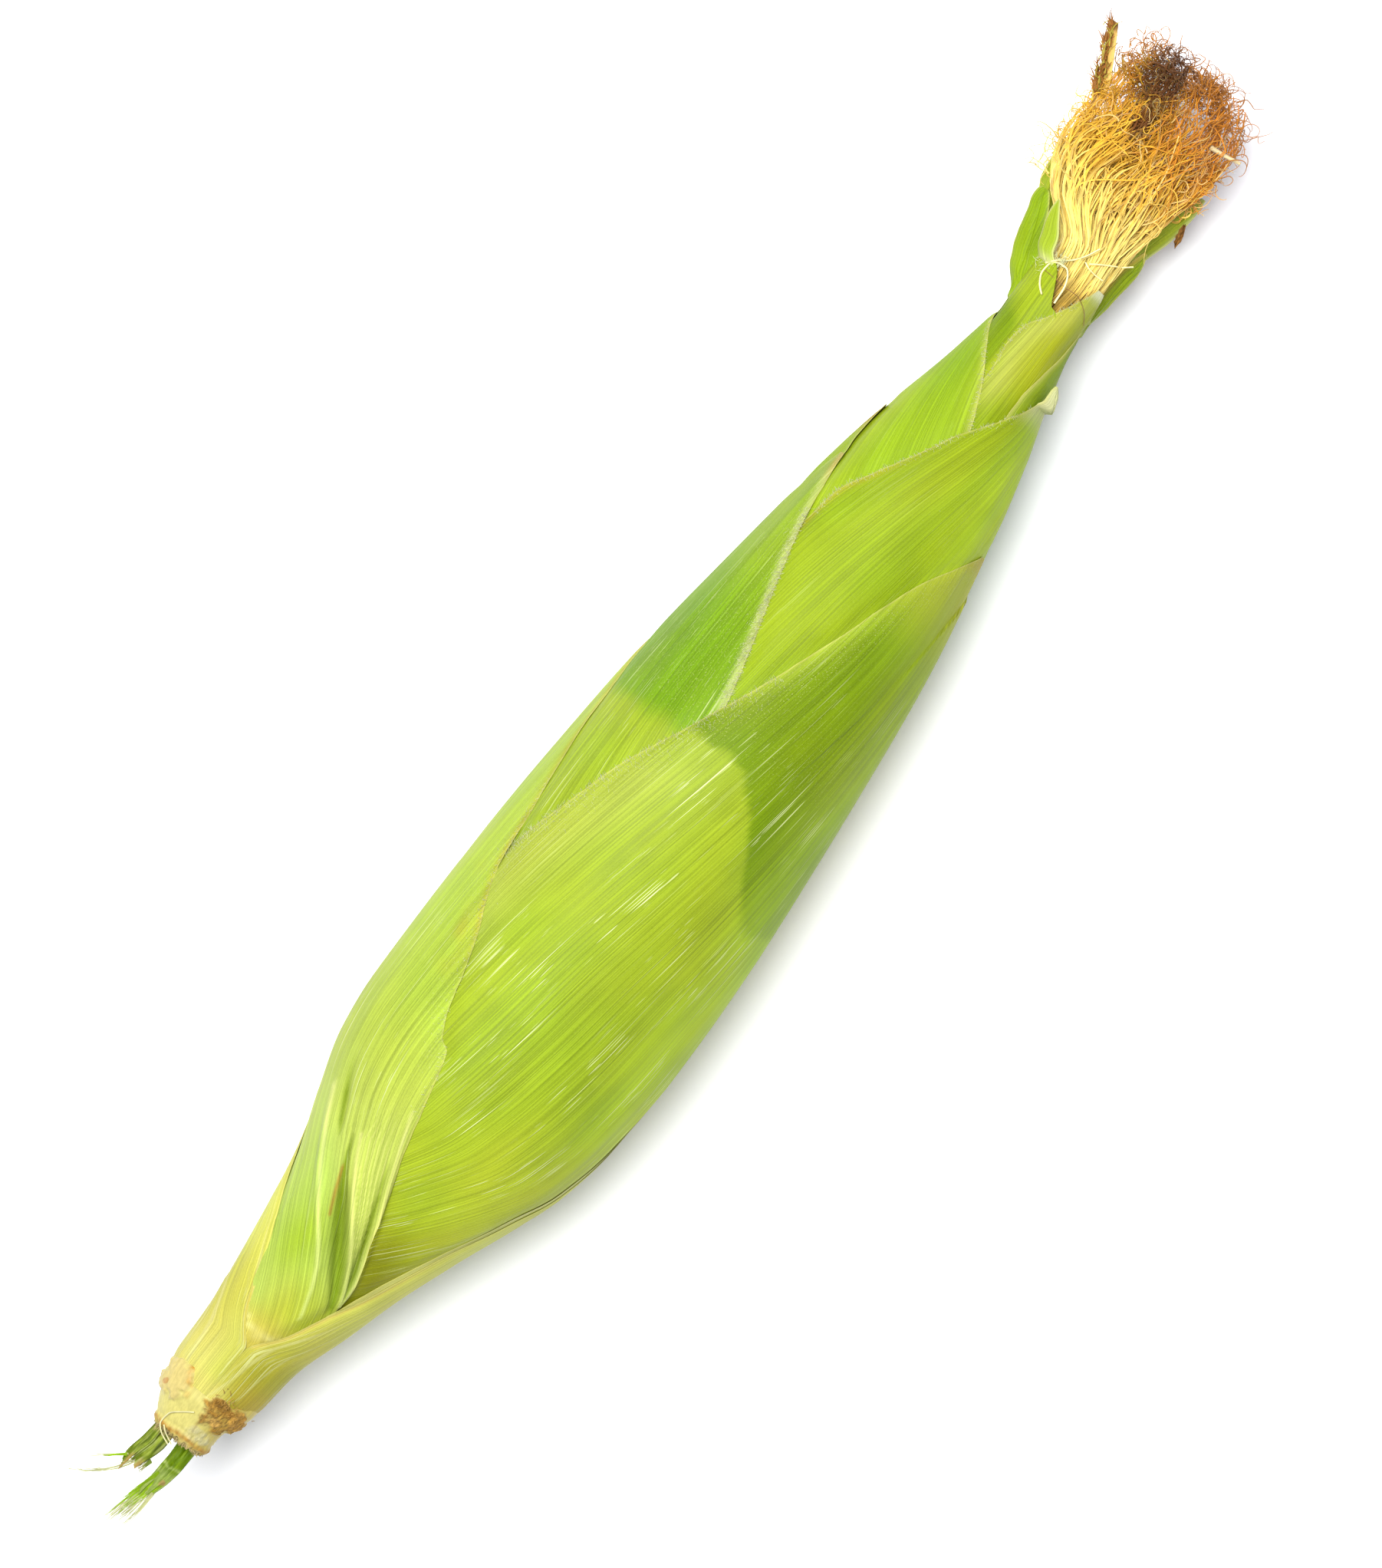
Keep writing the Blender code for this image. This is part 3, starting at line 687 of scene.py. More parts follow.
def paint_broad(x, y, low, high, noise):
    past = ease(x - straight(SHADE_EDGE, 1, y) + 1.2 * noise, -1.4, 1.4)
    # painted light: the darker green fades on the lower flank, standing in for light bounced up from the
    # floor; it also fades towards the tip
    past = past * (1 - 0.55 * ease(-y, 14, 24)) * (1 - 0.5 * ease(x, 66, 90))
    return layered(
        (0.240, 0.318, 0.012), x.shape,
        ((0.288, 0.345, 0.046), 0.75 * hump(low, 6, 8) * ease(x, -30, -12) * (1 - ease(x, 30, 50))),
        ((0.335, 0.385, 0.018), ease(-y, 2, 14) * ease(-x, 25, 55)),
        # painted light: the lower flank made lighter, standing in for light bounced up from the floor
        ((0.290, 0.400, 0.012), ease(-y, 17, 25) * (1 - ease(-x, 20, 50))),
        (OLIVE, ease(-x, 58, 80)),
        # painted shadow: a darker strip on this leaf just below the folded leaf's margin
        (OLIVE * 0.62, 0.9 * ease(-x, 62, 78) * ease(y, -12, -5)),
        ((0.128, 0.205, 0.001), past),
        (PALE_GREEN, 0.55 * ease(x, 45, 60) * hump(low, 0, 2.2)),
        ((0.300, 0.330, 0.022), 0.8 * ease(x, 78, 98)),
        (RUST, 0.8 * ease(x, 99.5, 104.5) * (0.7 + 0.3 * noise)),
    )


def paint_dark(x, y, low, high, noise):
    past = ease(x - 42.6 + 1.2 * noise, -3.6, 2.4)
    return layered(
        (0.240, 0.312, 0.015), x.shape,
        (DARK_GREEN, past * (1 - 0.60 * ease(x, 62, 92))),
        (CREAM, 0.35 * hump(high, 0.8, 0.9) * ease(x, 44, 52)),
        (RUST, 0.8 * ease(x, 96, 104) * hump(high, 0, 2.0)),
    )


def paint_folded(x, y, low, high, noise):
    c = layered(
        (0.302, 0.383, 0.037), x.shape,
        ((0.322, 0.408, 0.070), ease(-x, 35, 60)),
        ((0.345, 0.370, 0.030), ease(-x, 78, 94) * ease(12 - y, 0, 8)),
        # painted shade: a darker patch in the hollow beside the fold
        ((0.245, 0.330, 0.004), 0.75 * hump(x, -80, 9) * hump(y, 10, 4.5)),
        (STRAW, ease(-x, 93, 101)),
    )
    # painted highlight: pale lines along the ridges, where they catch the light
    for name in ("ridge over the fold", "ridge under the fold", "ridge along the margin"):
        c = tinted(c, (0.52, 0.56, 0.17), 0.75 * hump(near_line(x, y, FOLDS[name])[0], 0, 0.55))
    share = across_pleats(x, y)
    # painted highlight: the crest of each pleat made paler, as if catching the light
    crest_highlight = np.maximum(np.cos(2 * math.pi * PLEATS * share), 0) ** 2
    c = tinted(c, (0.47, 0.52, 0.14), 0.7 * crest_highlight * pleat_window(x, share))
    # painted shade: darker along the fold, the crease and the groove, most where they sink deepest
    for name, reach in (("fold", 1.15), ("crease past the fold", 0.8), ("groove over it", 0.8)):
        away, height = near_line(x, y, FOLDS[name])
        c = tinted(c, (0.120, 0.185, 0.000), 0.9 * hump(away, 0, reach) * np.clip(-1.5 * height, 0, 1))
    c = tinted(c, (0.27, 0.15, 0.015), 0.85 * hump(near_line(x, y, TORN_EDGE)[0], 0, 1))
    # painted highlight: a pale crescent on the bulge in the notch
    c = tinted(c, (0.50, 0.47, 0.14), 0.9 * hump(near_line(x, y, FOLDS["bulge in the notch"])[0], 0, 1))
    rusty = hump(high, 0.0, 1.3) * ease(x, -28, -5) * (0.75 + 0.35 * noise)
    c = tinted(c, (0.34, 0.27, 0.02), 0.8 * rusty)
    return tinted(c, (0.33, 0.27, 0.02), 0.6 * hump(x, -12, 9) * hump(high, 5, 3) * ease(noise, -0.3, 0.6))


def paint_outer(x, y, low, high, noise):
    streak = ease(value_noise((low - high) / 1.1, x / 50, 35), 0.45, 0.9)
    return layered(
        (0.430, 0.450, 0.070), x.shape,
        ((0.375, 0.378, 0.055), ease(-x, 84, 98)),
        ((0.300, 0.272, 0.022), ease(-x, 94, 106) * ease(6 - y, -4, 5)),
        ((0.425, 0.405, 0.090), ease(-x, 96, 110) * ease(y, 7, 12)),
        ((0.36, 0.24, 0.03), 0.6 * ease(-x, 106, 113) * ease(3 - y, -3, 4)),
        ((0.43, 0.39, 0.06), 0.7 * hump(x, -97, 5) * hump(y, -5.5, 3)),
        ((0.455, 0.400, 0.095), ease(-x, 110.5, 115) * ease(y, 2, 5)),
        ((0.50, 0.49, 0.20), 0.5 * streak * ease(-x, 60, 80)),
        ((0.46, 0.36, 0.08), 0.7 * hump(low, 0.4, 0.5) * ease(-x, 64, 84)),
        ((0.40, 0.27, 0.04), 0.45 * hump(high, 0.4, 0.5) * ease(-x, 88, 96)),
    )


def paint_under(x, y, low, high, noise):
    return layered((0.33, 0.35, 0.020), x.shape, (CREAM, 0.5 * hump(low, 1.0, 1.5)))


def paint_back(x, y, low, high, noise):
    return layered((0.215, 0.315, 0.006), x.shape, (RUST, 0.8 * ease(x, 108, 117)))


def paint_curled(x, y, low, high, noise):
    return layered(
        (0.198, 0.278, 0.003), x.shape,
        # painted light: the lower flank made lighter, standing in for light bounced up from the floor
        ((0.270, 0.380, 0.008), ease(-y, 6, 13)),
        (PALE_GREEN, 0.25 * ease(x, 40, 80) * hump(low, 12, 10)),
        ((0.33, 0.28, 0.02), 0.55 * hump(low, 0.5, 1.0) * (1 - ease(x, 100, 118))),
        ((0.46, 0.46, 0.22), ease(x, 129, 137)),
    )


def paint_shoulder(x, y, low, high, noise):
    return layered(
        (0.232, 0.330, 0.008), x.shape,
        (DARK_GREEN, 0.35 * ease(x, 118, 135) * ease(y, 4, 9)),
        ((0.36, 0.40, 0.06), 0.8 * hump(high, 0, 1.2) * ease(x, 100, 112)),
    )


def paint_neck(x, y, low, high, noise):
    return layered(
        (0.175, 0.255, 0.003), x.shape,
        ((0.37, 0.41, 0.08), 0.9 * hump(low, 0, 0.9)),
        ((0.36, 0.24, 0.02), 0.8 * hump(low, 0, 0.8) * ease(x, 153, 156)),
    )


def paint_pale(x, y, low, high, noise):
    return layered(
        (0.250, 0.285, 0.006), x.shape,
        ((0.205, 0.285, 0.003), 0.9 * hump(x, 126, 9) * ease(4 - y, -3, 3)),
        ((0.315, 0.345, 0.045), hump(low, 2.2, 2.8) * ease(x, 120, 135)),
        ((0.58, 0.58, 0.36), ease(x, 157.5, 160.4)),
    )


def paint_flag(x, y, low, high, noise):
    shade = 0.8 * ease(13.5 - y, -1, 2) * ease(x, 156, 160)
    return layered((0.185, 0.285, 0.002), x.shape, ((0.145, 0.235, 0.000), shade))


def paint_cradle(x, y, low, high, noise):
    rim = 0.7 * np.maximum(hump(low, 0, 0.7), hump(high, 0, 0.7)) * ease(x, 165, 175)
    return layered((0.285, 0.345, 0.018), x.shape, (CREAM, rim))


def paint_dried(x, y, low, high, noise):
    dark = ease(x, 187, 191) * ease(high - low + 1.2 * noise, -0.9, 0.1) + ease(x, 202.5, 204)
    return layered(
        (0.250, 0.320, 0.010), x.shape,
        ((0.80, 0.47, 0.14), ease(x, 172, 184)),
        ((0.165, 0.066, 0.014), np.minimum(dark, 1) * (0.8 + 0.3 * noise)),
    )


# In the order of LEAVES.
PAINTS = [
    paint_dried, paint_cradle, paint_flag, paint_pale, paint_neck, paint_shoulder, paint_curled,
    paint_back, paint_dark, paint_broad, paint_folded, paint_under, paint_outer,
]


def leaf_tint(leaf, point, low, high):
    """A leaf's colour before its veins, from each point's place and its distance from both margins."""
    x, y = point[..., 0], point[..., 1]
    noise = value_noise(x / 4.5 + 5, y / 3.5 + len(leaf["name"]), 31)
    c = PAINTS[LEAVES.index(leaf)](x, y, low, high, noise)
    rim = hump(np.minimum(low, high), 0, 0.30) * (1 - ease(x, 180, 186))
    return tinted(c, (0.43, 0.42, 0.11), 0.6 * rim) * (1 + 0.04 * noise[..., None])


def leaf_dashes(name, x, y):
    """How many white dashes a leaf has at each of its points."""
    if name == "leaf_04_broad":
        return (0.30 + 0.80 * (1 - ease(x, 30, 60)) * ease(18 - y, 0, 14)) * ease(x, -84, -70)
    if name == "leaf_03_folded":
        return 0.15 + 0.6 * ease(x, -60, -45) * (1 - ease(x, -30, -5))
    return (0.45 if name in ("leaf_05_dark", "leaf_01_outer") else 0.12) + 0.0 * x


def leaf_fuzz(name, x, low, high):
    """How hairy a leaf is at each of its points."""
    if name == "leaf_04_broad":
        fuzz = 0.12 + 0.20 * ease(x, 40, 50) + 0.75 * hump(low, 3.0, 3.0) * ease(x, -40, -15)
        return fuzz * (1 - 0.5 * ease(x, 50, 75) * ease(low, 4, 8))
    if name == "leaf_05_dark":
        return 0.12 + 0.30 * ease(x, 40, 48) + 0.7 * hump(high, 1.0, 1.1) * ease(x, 44, 52)
    if name == "leaf_03_folded":
        return 0.10 + 0.45 * hump(high, 3, 3) * ease(x, -48, -34)
    if name in ("leaf_07_curled_tip", "leaf_08_shoulder"):
        return 0.16 + 0.35 * hump(np.minimum(low, high), 1.0, 1.5)
    return 0.10 + 0.0 * x

# ---------------------------------------------------------------- leaves

def running_total(places, weights):
    """The weight met up to each place along a line."""
    return np.concatenate([[0], np.cumsum((weights[1:] + weights[:-1]) / 2 * np.diff(places))])


def spread(places, weights):
    """Places along a line, closer where the weight is higher."""
    total = running_total(places, weights)
    return np.interp(np.linspace(0, total[-1], max(6, math.ceil(total[-1]))), total, places)


def sheath_grid(leaf, above):
    """x of the rows, and the share across of the columns, finer where the leaf can be seen."""
    margins = leaf["margins"]
    rows = np.linspace(margins[0][0], margins[-1][0], 220)
    share = np.linspace(0, 1, 161)
    low, high = smooth(margins, 1, rows)[:, None], smooth(margins, 2, rows)[:, None]
    angle = low + (high - low) * share
    seen = ~hidden(above, np.broadcast_to(rows[:, None], angle.shape), angle)
    seen &= np.sin(np.radians(angle)) > -0.75
    width = (np.radians(high - low)[:, 0] * smooth(OUTLINE, 2, rows)).max()
    row_weight = np.where(seen.any(axis=1), 1 / FINE_ROW, 1 / COARSE_ROW)
    for start, end in leaf.get("fine", ()):
        row_weight = np.where((rows > start) & (rows < end), 1 / FOLD_ROW, row_weight)
    column_weight = np.where(seen.any(axis=0), width / FINE_COLUMN, width / COARSE_COLUMN)
    blade_rows = (leaf["blade"][-1][0] - margins[-1][0]) / BLADE_ROW if "blade" in leaf else 0
    points = (running_total(rows, row_weight)[-1] + blade_rows) * running_total(share, column_weight)[-1]
    shrink = min(1.0, math.sqrt(MOST_POINTS / points))
    return spread(rows, row_weight * shrink), spread(share, column_weight * shrink), width


def frayed(x, seed):
    """Small waves of a leaf's margin, in degrees at the ear's full width."""
    return 0.55 * value_noise(x / 5.5, seed, 51) + 0.30 * value_noise(x / 1.9, seed, 52)


def husk_leaf(leaf, above, seed, material):
    """One husk leaf as a thin shell under the leaves above it, with its blade if it has one."""
    margins = leaf["margins"]
    x, share, width = sheath_grid(leaf, above)
    radius = smooth(OUTLINE, 2, x)
    closed, parted = leaf.get("closed", (-1e3, -1e3 + 1))
    ragged = ease(x, closed, parted) * 14 / radius
    low = smooth(margins, 1, x) + frayed(x, seed) * ragged
    high = smooth(margins, 2, x) + frayed(x, seed + 20) * ragged
    angle = low[:, None] + (high - low)[:, None] * share
    grid_x = np.broadcast_to(x[:, None], angle.shape)
    whole = (np.radians(high - low) * radius)[:, None]
    shut = 20 * (1 - ease(grid_x, closed, parted))
    from_low = share * whole + shut
    from_high = (1 - share) * whole + shut
    to_tip = 1e3 if "blade" in leaf else (margins[-1][0] - grid_x) * 1.2
    edge = np.minimum(np.minimum(from_low, from_high), to_tip)
    rise = np.maximum(LAYER_PITCH - EDGE_THICKNESS, 0)
    lie = leaf.get("lie", [(0, 0.15, 0.15), (1, 0.15, 0.15)])
    flutter = 0.5 + 0.8 * value_noise(grid_x / 11, seed * 2.1, 53)
    dip = (rise - smooth(lie, 1, grid_x) * flutter) * hump(from_low, 0, DIP_WIDTH)
    dip = dip + (rise - smooth(lie, 2, grid_x) * flutter) * hump(from_high, 0, DIP_WIDTH)
    across = share * width + 0 * grid_x
    if "grain" in leaf:
        across = (angle - smooth(leaf["grain"], 1, grid_x)) * math.radians(1) * FULL_RADIUS
    rib = value_noise(across / RIB_SPACING, grid_x / 90 + seed, 54)
    rib = rib + 0.6 * value_noise(across / (0.45 * RIB_SPACING), grid_x / 60 + seed, 55)
    sink = BASE_SINK * settled(grid_x - margins[0][0], (0.0, BASE_SINK_LENGTH))
    under_folds = ease(grid_x, -102, -96) * (1 - ease(grid_x, -50, -42))
    sink = sink + HIDDEN_SINK * under_folds * hidden(above, grid_x, angle)
    depth = depth_under(above, grid_x, angle) + sink + dip
    depth = depth - RIB_HEIGHT * rib * np.clip(whole / 22, 0.25, 1)
    thickness = EDGE_THICKNESS + (LEAF_THICKNESS - EDGE_THICKNESS) * ease(edge, 0, 2.5)
    outer = ear_point(grid_x, angle, depth)
    inner = ear_point(grid_x, angle, depth + thickness)
    if "blade" in leaf:
        far_outer, far_inner, wide = blade(leaf["blade"], share, outer[-1], seed)
        outer, inner = np.concatenate([outer, far_outer]), np.concatenate([inner, far_inner])
        from_low = np.concatenate([from_low, 2 * share * wide])
        from_high = np.concatenate([from_high, 2 * (1 - share) * wide])
        across = np.concatenate([across, 2 * share * wide + across[-1:, :1]])
    grid_x, grid_y = outer[..., 0], outer[..., 1]
    tint = leaf_tint(leaf, outer, from_low, from_high)
    values = {
        "dashes": leaf_dashes(leaf["name"], grid_x, grid_y),
        "fuzz": leaf_fuzz(leaf["name"], grid_x, from_low, from_high),
    }
    pale = tinted(tint, CREAM, np.full(grid_x.shape, 0.3))
    return shell_piece(
        leaf["name"], outer, inner, material, "husk_" + leaf["name"],
        tint, pale, across, values,
    )


def shell_piece(name, outer, inner, material, node, tint, under=None, across=None, values=None):
    """A thin shell between two grids of points, with a colour for each side."""
    under = tint if under is None else under
    values = {key: np.tile(np.clip(data, 0, 1).ravel(), 2) for key, data in (values or {}).items()}
    uv = None if across is None else np.stack([across, outer[..., 0]], axis=-1).reshape(-1, 2)
    return new_piece(
        name,
        np.concatenate([outer.reshape(-1, 3), inner.reshape(-1, 3)]),
        shell_faces(*outer.shape[:2]),
        material, node,
        np.concatenate([tint.reshape(-1, 3), under.reshape(-1, 3)]),
        None if uv is None else np.tile(uv, (2, 1)),
        values,
    )


def blade(stations, share, last, seed):
    """The narrow blade past a sheath: it grows out of the sheath's last row of points."""
    middle = (last[0] + last[-1]) / 2
    chord = last[-1] - last[0]
    face = math.degrees(math.atan2(-chord[1], chord[2]))
    face += 360 * round((stations[0][4] - face) / 360)
    if abs(stations[0][4] - face) > 120:
        face = stations[0][4]
    table = [(*middle, np.linalg.norm(chord) / 2, face)] + list(stations)
    x = np.arange(table[0][0] + BLADE_ROW, table[-1][0] + 0.01, BLADE_ROW)
    wide = smooth(table, 3, x) * (1 + 0.07 * value_noise(x / 2.3, seed, 61))
    turn = np.radians(smooth(table, 4, x))
    side = np.stack([0 * x, -np.sin(turn), np.cos(turn)], axis=-1)
    out = np.stack([0 * x, np.cos(turn), np.sin(turn)], axis=-1)
    w = share * 2 - 1
    bow = ((last - middle) @ out[0]).max() * np.exp(-(x - x[0]) / 3.0) + 0.18 * wide
    wave = 0.10 * wide[:, None] * value_noise(x[:, None] / 5, w * 1.5 + seed, 62)
    crease = -0.12 * wide[:, None] * hump(w, 0.1, 0.12)
    line = np.stack([x, smooth(table, 1, x), smooth(table, 2, x)], axis=-1)
    height = bow[:, None] * (1 - w**2) + wave + crease
    outer = line[:, None] + side[:, None] * (w * wide[:, None])[..., None] + out[:, None] * height[..., None]
    return outer, outer - out[:, None] * BLADE_THICKNESS, wide[:, None] + 0 * w


# Short pale hairs beside a margin: leaf, side, x from, x to, strip width, count.
HAIR_STRIPS = [
    ("leaf_04_broad", 1, -22, 62, 5.0, 1500), ("leaf_05_dark", 2, 46, 92, 2.6, 1300),
    ("leaf_03_folded", 2, -48, 20, 3.0, 350), ("leaf_07_curled_tip", 1, 92, 134, 1.6, 350),
    ("leaf_08_shoulder", 2, 106, 143, 1.4, 250), ("leaf_10_pale", 1, 132, 158, 1.2, 160),
]
HAIR_LENGTH = (0.35, 1.0)
HAIR_COLOUR = np.array((0.52, 0.54, 0.30))


def margin_hairs(name, side, x_from, x_to, strip, count, material):
    """Short hairs in a strip beside one margin of a leaf."""
    rng = np.random.default_rng(len(name) * 7 + side)
    number = [leaf["name"] for leaf in LEAVES].index(name)
    leaf, above = LEAVES[number], LEAVES[number + 1:]
    x = rng.uniform(x_from, x_to, count)
    inward = np.abs(rng.normal(0, 0.5, count)) * strip
    turned = np.degrees(inward / smooth(OUTLINE, 2, x)) * (1 if side == 1 else -1)
    angle = smooth(leaf["margins"], side, x) + turned
    depth = depth_under(above, x, angle)
    root = ear_point(x, angle, depth + 0.08)
    out = ear_point(x, angle, depth - 1.0) - root
    outward = root - ear_point(x, angle + turned / np.maximum(np.abs(turned), 1e-6), 0 * x)
    strands = []
    for k in range(count):
        heading = outward[k] / (np.linalg.norm(outward[k]) + 1e-9) + rng.normal(0, 0.45, 3)
        heading += 0.35 * out[k] / np.linalg.norm(out[k]) + np.array((0.4, 0, 0))
        path = wander(root[k], heading, rng.uniform(*HAIR_LENGTH), 0.12, rng, 4)
        strands.append((path, np.linspace(0.035, 0.012, 4), HAIR_COLOUR * rng.uniform(0.6, 1.15)))
    return thread_piece(name + "_hairs", strands, material, "husk_" + name, 3)


def brown_flake(material):
    """The small dried flake at the end of the cradle leaf's lower edge."""
    w = np.linspace(-1, 1, 15)
    x = np.linspace(0, 1, 24)[:, None]
    wide = 0.75 * np.sqrt(np.maximum(np.sin(math.pi * np.clip(x * 0.86 + 0.12, 0, 1)), 0.02))
    ragged = 1 + 0.25 * value_noise(x * 9, w * 3, 73)
    across = -10.9 + 0.9 * x + w * wide * ragged
    height = 15.4 + 0.6 * x + 0.5 * value_noise(x * 4, w * 2, 74)
    outer = np.stack(np.broadcast_arrays(177.6 + 5.4 * x + 0.5 * w, across, height), axis=-1)
    colour = np.array((0.20, 0.09, 0.018)) * (1 + 0.5 * value_noise(x * 12, w * 2, 75)[..., None])
    return shell_piece(
        "leaf_12_cradle_flake", outer, outer - np.array((0, 0, 0.3)), material,
        "husk_leaf_12_cradle", colour, values={"cork": 0.6 + 0 * height},
    )


# The dried tip's line, seen from above, and its height: (x, y, z).
DRIED_LINE = [(188.5, 18.8, 23.4), (192, 19.7, 24.2), (198, 22.2, 25.4), (204, 25.2, 27.0)]


def dried_shreds(material):
    """Brown shreds of the dried leaf along its point, most of them at its near end."""
    rng = np.random.default_rng(43)
    strands = []
    for _ in range(220):
        x = 191.5 + 12 * rng.uniform() ** 1.7
        root = np.array((x, smooth(DRIED_LINE, 1, x), smooth(DRIED_LINE, 2, x))) + rng.normal(0, 0.5, 3)
        heading = np.array((0.88, 0.46, 0.10)) + rng.normal(0, 0.22, 3)
        path = wander(root, heading, rng.uniform(1.2, 3.6), 0.10, rng, 8)
        path[:, 0] = np.minimum(path[:, 0], 207)
        colour = tinted(BROWN * 1.8, STRAW, np.array(0.8 * (rng.uniform() > 0.65))) * rng.uniform(0.7, 1.4)
        strands.append((path, np.linspace(rng.uniform(0.09, 0.22), 0.05, 8), colour))
    return thread_piece("leaf_13_dried_tip_shreds", strands, material, "husk_leaf_13_dried_tip")


# ---------------------------------------------------------------- inner husk

# How far the innermost husk's mouth reaches: (angle, x).
NECK_MOUTH = [
    (0, 157.5), (30, 159.5), (48, 160.5), (66, 158.5), (90, 152.4), (130, 149.5), (200, 151), (290, 153),
    (360, 157.5),
]


def inner_husk(material):
    """The innermost husk, closed round the ear, with its open mouth."""
    sides = 144
    angle = np.arange(sides) * 360 / sides
    mouth = smooth(NECK_MOUTH, 1, angle) + 0.35 * value_noise(angle / 9, 3, 71)
    rings = [ear_point(-70.5, angle, 0 * angle + 13.0)]
    for x in np.concatenate([np.arange(-70, 116, 6.0), np.arange(116, 149, 1.0)]):
        rings.append(ear_point(x, angle, depth_under(LEAVES, x, angle)))
    start = rings[-1][0, 0]
    for part in (0.3, 0.6, 0.85, 1.0):
        x = start + (mouth - start) * part
        rings.append(ear_point(x, angle, depth_under(LEAVES, x, angle) - 0.25 * part**4))
    wall = depth_under(LEAVES, mouth, angle) + 0.3
    for part in (0.0, 0.3, 0.7, 1.0):
        rings.append(ear_point(mouth + (143 - mouth) * part, angle, wall + 1.2 * part))
    turn = np.radians(angle)
    for x, size in ((136, 2.6), (132, 0.6)):
        y = smooth(OUTLINE, 1, x) + size * np.cos(turn)
        z = smooth(CENTRE_HEIGHT, 1, x) + size * np.sin(turn)
        rings.append(np.stack([0 * y + x, y, z], axis=-1))
    points = np.array(rings)
    x, y = points[..., 0], points[..., 1]
    colour = layered(
        (0.262, 0.318, 0.008), x.shape,
        # painted shadow: a darker green patch on the neck where it lies in shade
        ((0.150, 0.225, 0.001), ease(147.5 - x + 0.8 * (y - 7), -2.5, 2.0) * ease(y, 3.5, 5.5)),
        ((0.235, 0.300, 0.006), hump(x, 148, 4) * ease(5 - y, -2, 3)),
    )
    uv = np.stack([np.abs(angle - 270) * 0.16 + 0 * x, x], axis=-1).reshape(-1, 2)
    return new_piece(
        "inner_husk_neck", points.reshape(-1, 3), tube_faces(len(rings), sides), material,
        "inner_husk", colour.reshape(-1, 3), uv, {"dashes": 0 * x.ravel(), "fuzz": 0.1 + 0 * x.ravel()},
    )


# The small blade at the rim: (x, y, z, half width, the way it faces).
RIM_BLADE = [
    (161.0, 9.2, 28.2, 2.4, 50), (163.5, 10.0, 28.8, 2.3, 56), (166.0, 11.2, 29.3, 1.6, 62),
    (168.5, 12.2, 29.6, 0.8, 66), (170.2, 12.7, 29.6, 0.25, 66),
]


def rim_blade(material):
    """The small light blade that grew on at the rim of the innermost husk."""
    share = np.linspace(0, 1, 21)
    last = ear_point(158.6, 22 + 44 * share, 0.1 + 0 * share)
    outer, inner, wide = blade(RIM_BLADE, share, last, 5)
    outer = np.concatenate([last[None], outer])
    inner = np.concatenate([last[None] - np.array((0, 0.1, 0.2)), inner])
    edge = np.minimum(share, 1 - share) * 2 * np.concatenate([wide[:1], wide])
    light = 0.7 * hump(edge, 0, 0.3) + 0.8 * hump(outer[..., 0], 158.6, 1.2)
    colour = layered((0.270, 0.365, 0.015), edge.shape, (CREAM, light))
    return shell_piece(
        "inner_husk_blade", outer, inner, material, "inner_husk", colour,
        across=share * 7 + 0 * edge, values={"dashes": 0 * edge, "fuzz": 0.2 + 0 * edge},
    )


def ligule(material):
    """The tuft of pale hairs where the small blade leaves the rim."""
    rng = np.random.default_rng(41)
    strands = []
    for _ in range(150):
        x, y = rng.normal(160.0, 1.0), rng.uniform(4.6, 9.3)
        x += (y - 4.6) * -0.45 + 0.6
        root = on_top(x, y, -0.1)
        heading = np.array((rng.normal(0.3, 0.7), rng.normal(0, 0.7), rng.uniform(0.1, 0.8)))
        path = wander(root, heading, rng.uniform(0.6, 1.7), 0.12, rng, 6)
        colour = np.array((0.62, 0.64, 0.34)) * rng.uniform(0.8, 1.1)
        strands.append((path, np.linspace(0.07, 0.02, 6), colour))
    return thread_piece("inner_husk_ligule", strands, material, "inner_husk")

# ---------------------------------------------------------------- the stalk's butt

def spot(x, y, centre, size, roughness=1.0):
    """1 in the middle of a patch with an uneven outline, 0 outside it."""
    away = np.hypot((x - centre[0]) / size[0], (y - centre[1]) / size[1])
    away = away + roughness * 0.28 * value_noise(x / 1.6, y / 1.6, 91)
    away = away + roughness * 0.14 * value_noise(x / 0.7, y / 0.7, 92)
    return 1 - ease(away, 0.70, 1.0)


